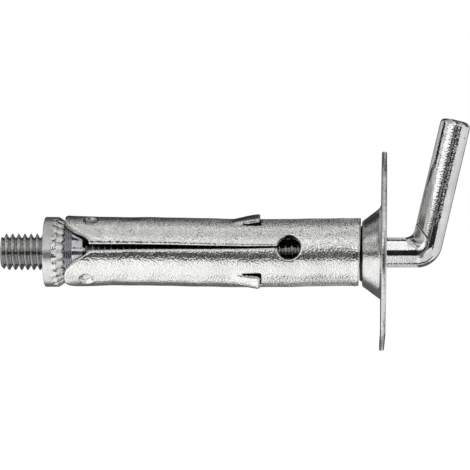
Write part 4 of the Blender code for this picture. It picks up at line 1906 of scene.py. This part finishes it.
@dataclass
class Studio:
    """The floor, the light and the camera. Each patch lies over those before it."""

    aim: Point = (-23.58 * MM, 0.0, 2.77 * MM)
    stand: Point = (-2.61 * MM, -474.5 * MM, 2.77 * MM)
    lens: float = 225.8
    sensor_width: float = 36.0
    clip_start: float = 0.01
    roll: float = math.radians(0.09)
    floor_drop: float = -60.0 * MM
    floor_size: float = 6.0
    floor_lift: float = 0.16
    paper_level: float = 0.9
    lamp_size: Pair = (0.5, 0.4)
    lamp_power: float = 2.0
    lamp_place: Point = (-0.05, -0.25, 0.6)
    surround: float = 1.3
    patches: tuple[Patch, ...] = (
        Patch(0.2, (20.0, 112.0), (-58.0, -7.0), 9.0),
        Patch(0.2, (20.0, 96.0), (7.0, 58.0), 9.0),
        Patch(0.85, (20.0, 90.0), (-27.0, -16.0), 4.0),
        Patch(0.85, (20.0, 90.0), (-48.0, -38.0), 4.0),
        Patch(0.85, (20.0, 84.0), (16.0, 27.0), 4.0),
        Patch(0.85, (20.0, 84.0), (38.0, 48.0), 4.0),
        Patch(0.58, (20.0, 120.0), (-6.0, -0.8), 0.6),
        Patch(1.6, (34.0, 48.0), (-9.0, -5.6), 1.0),
        Patch(0.3, (100.0, 187.0), (-2.0, 95.0), 3.0),
        Patch(0.3, (114.0, 187.0), (-95.0, -2.0), 3.0),
        Patch(0.03, (110.0, 187.0), (-2.0, 95.0), 3.0),
        Patch(0.03, (122.0, 187.0), (-95.0, -2.0), 3.0),
        Patch(0.7, (113.0, 187.0), (0.25, 2.6), 0.25),
        Patch(0.45, (150.0, 187.0), (18.0, 50.0)),
        Patch(0.12, (-187.0, -119.0)),
        Patch(0.7, (-187.0, -104.0), (0.15, 3.0), 0.25),
        Patch(0.7, (-187.0, -104.0), (36.0, 95.0)),
        Patch(1.1, (-119.0, -26.0)),
        Patch(0.12, (-122.0, -108.0), (-1.5, 30.0), 4.0),
        Patch(0.7, (-140.0, -104.0), (0.15, 3.0), 0.25),
        Patch(0.64, (-106.0, -26.0), (0.25, 4.0), 0.25),
        Patch(0.72, (-106.0, -29.0), (9.0, 51.0), 8.0),
        Patch(0.01, (-26.0, 4.0), (-46.0, -3.0)),
        Patch(0.01, (-26.0, 8.0), (5.0, 52.0)),
        Patch(0.01, (-25.0, 19.0), (-3.0, 5.0), 4.0),
        Patch(0.02, (-29.0, 19.0), (5.0, 51.0), 4.0),
        Patch(0.24, (-29.0, 14.0), (6.5, 14.5), 1.5),
        Patch(0.9, (4.0, 15.0), (15.0, 30.0), 2.0),
        Patch(0.9, (-28.0, -14.0), (15.0, 30.0), 2.0),
        Patch(0.9, (-5.0, 15.0), (30.0, 44.0), 2.0),
        Patch(0.9, (-29.0, -17.0), (30.0, 44.0), 2.0),
        Patch(1.2, (4.0, 22.0), (41.0, 53.0), 2.0),
        Patch(0.8, (-110.0, 60.0), (51.0, 95.0), 3.0),
        Patch(0.45, (60.0, 104.0), (51.0, 95.0), 3.0),
        Patch(0.02, (50.0, 92.0), (3.4, 34.0), 1.6),
        Patch(0.15, (-45.0, -29.0), (6.5, 14.5), 1.5),
        Patch(0.85, (20.0, 92.0), (-95.0, -54.0)),
        Patch(0.1, (92.0, 187.0), (-95.0, -50.0)),
        Patch(0.55, (128.0, 187.0), (-95.0, -40.0)),
        Patch(0.36, (158.0, 187.0), (-44.0, -16.0), 4.0),
        Patch(0.02, (-22.0, 23.0), (-95.0, -54.0), 4.0),
        Patch(0.8, (14.0, 46.0), (-66.0, -60.0), 3.0),
        Patch(0.01, (46.0, 125.0), (-95.0, -67.0), 2.0),
        Patch(0.01, (96.0, 114.0), (-0.3, 8.0), 0.5),
        Patch(0.01, (-101.5, -87.0), (0.0, 50.0), 0.4),
    )

    def build_camera(self) -> None:
        """Place the camera at the photograph's angle."""
        data = bpy.data.cameras.new("photo_camera")
        data.lens = self.lens
        data.sensor_width = self.sensor_width
        data.clip_start = self.clip_start
        camera = bpy.data.objects.new("photo_camera", data)
        bpy.context.scene.collection.objects.link(camera)
        camera.location = self.stand
        look = (Vector(self.aim) - Vector(self.stand)).to_track_quat("-Z", "Y")
        camera.rotation_euler = (look.to_matrix().to_4x4() @ Matrix.Rotation(self.roll, 4, "Z")).to_euler()
        bpy.context.scene.camera = camera

    def build_floor(self) -> None:
        """Lay the pale floor, lifted to white for the camera where no shadow falls."""
        mesh = bpy.data.meshes.new("floor")
        half = self.floor_size / 2
        mesh.from_pydata(
            [(-half, -half, 0), (half, -half, 0), (half, half, 0), (-half, half, 0)], [], [(0, 1, 2, 3)]
        )
        floor = bpy.data.objects.new("floor", mesh)
        floor.location = (0.0, 0.0, self.floor_drop)
        material = bpy.data.materials.new("floor_paper")
        material.use_nodes = True
        desk = NodeDesk(material.node_tree)
        shader = material.node_tree.nodes["Principled BSDF"]
        shader.inputs["Base Color"].default_value = (*[self.paper_level] * 3, 1.0)
        shader.inputs["Roughness"].default_value = self.paper_level
        path = desk.add("ShaderNodeLightPath")
        shown = desk.math("MAXIMUM", path.outputs["Is Camera Ray"], path.outputs["Is Transmission Ray"])
        shader.inputs["Emission Color"].default_value = (1.0, 1.0, 1.0, 1.0)
        desk.feed(shader.inputs["Emission Strength"], desk.times(shown, self.floor_lift))
        mesh.materials.append(material)
        bpy.context.scene.collection.objects.link(floor)
        floor.visible_glossy = False

    def build_world(self) -> None:
        """Build the white surroundings with the dark parts that bright metal shows."""
        world = bpy.data.worlds.new("studio")
        world.use_nodes = True
        bpy.context.scene.world = world
        desk = NodeDesk(world.node_tree)
        background = world.node_tree.nodes["Background"]
        x, y, z = desk.split(desk.add("ShaderNodeTexCoord").outputs["Generated"])
        front = desk.times(y, -1.0)
        raised = desk.math("DEGREES", desk.math("ARCTAN2", z, front))
        sideways = desk.math("DEGREES", desk.math("ARCSINE", x))
        lit = self.surround
        for patch in self.patches:
            lit = patch.paint(desk, raised, sideways, lit)
        glossy = desk.add("ShaderNodeLightPath").outputs["Is Glossy Ray"]
        reflected = desk.join(lit, lit, lit)
        desk.feed(background.inputs["Color"], desk.tint(glossy, (1.0, 1.0, 1.0, 1.0), reflected))
        background.inputs["Strength"].default_value = 1.0

    def build_lamps(self) -> None:
        """Hang a soft lamp overhead that gives the floor its shadow."""
        data = bpy.data.lights.new("top_softbox", "AREA")
        data.shape = "RECTANGLE"
        data.size, data.size_y = self.lamp_size
        data.energy = self.lamp_power
        lamp = bpy.data.objects.new("top_softbox", data)
        lamp.location = self.lamp_place
        lamp.rotation_euler = (-Vector(self.lamp_place)).to_track_quat("-Z", "Y").to_euler()
        bpy.context.scene.collection.objects.link(lamp)
        lamp.visible_glossy = False
        data.specular_factor = 0.0

    def build(self) -> None:
        """Build the whole set."""
        scene = bpy.context.scene
        scene.view_settings.view_transform = "Standard"
        self.build_camera()
        self.build_floor()
        self.build_world()
        self.build_lamps()


def main() -> None:
    """Build every sub-assembly in order and report its pieces."""
    shop = FinishShop()
    Studio().build()
    for assembly in (HookBolt(shop), PressedWasher(shop), ExpansionSleeve(shop), ConeNut(shop)):
        for piece in assembly.build():
            log.info("%s: %d faces", piece.name, len(piece.data.polygons))


if __name__ == "__main__":
    main()
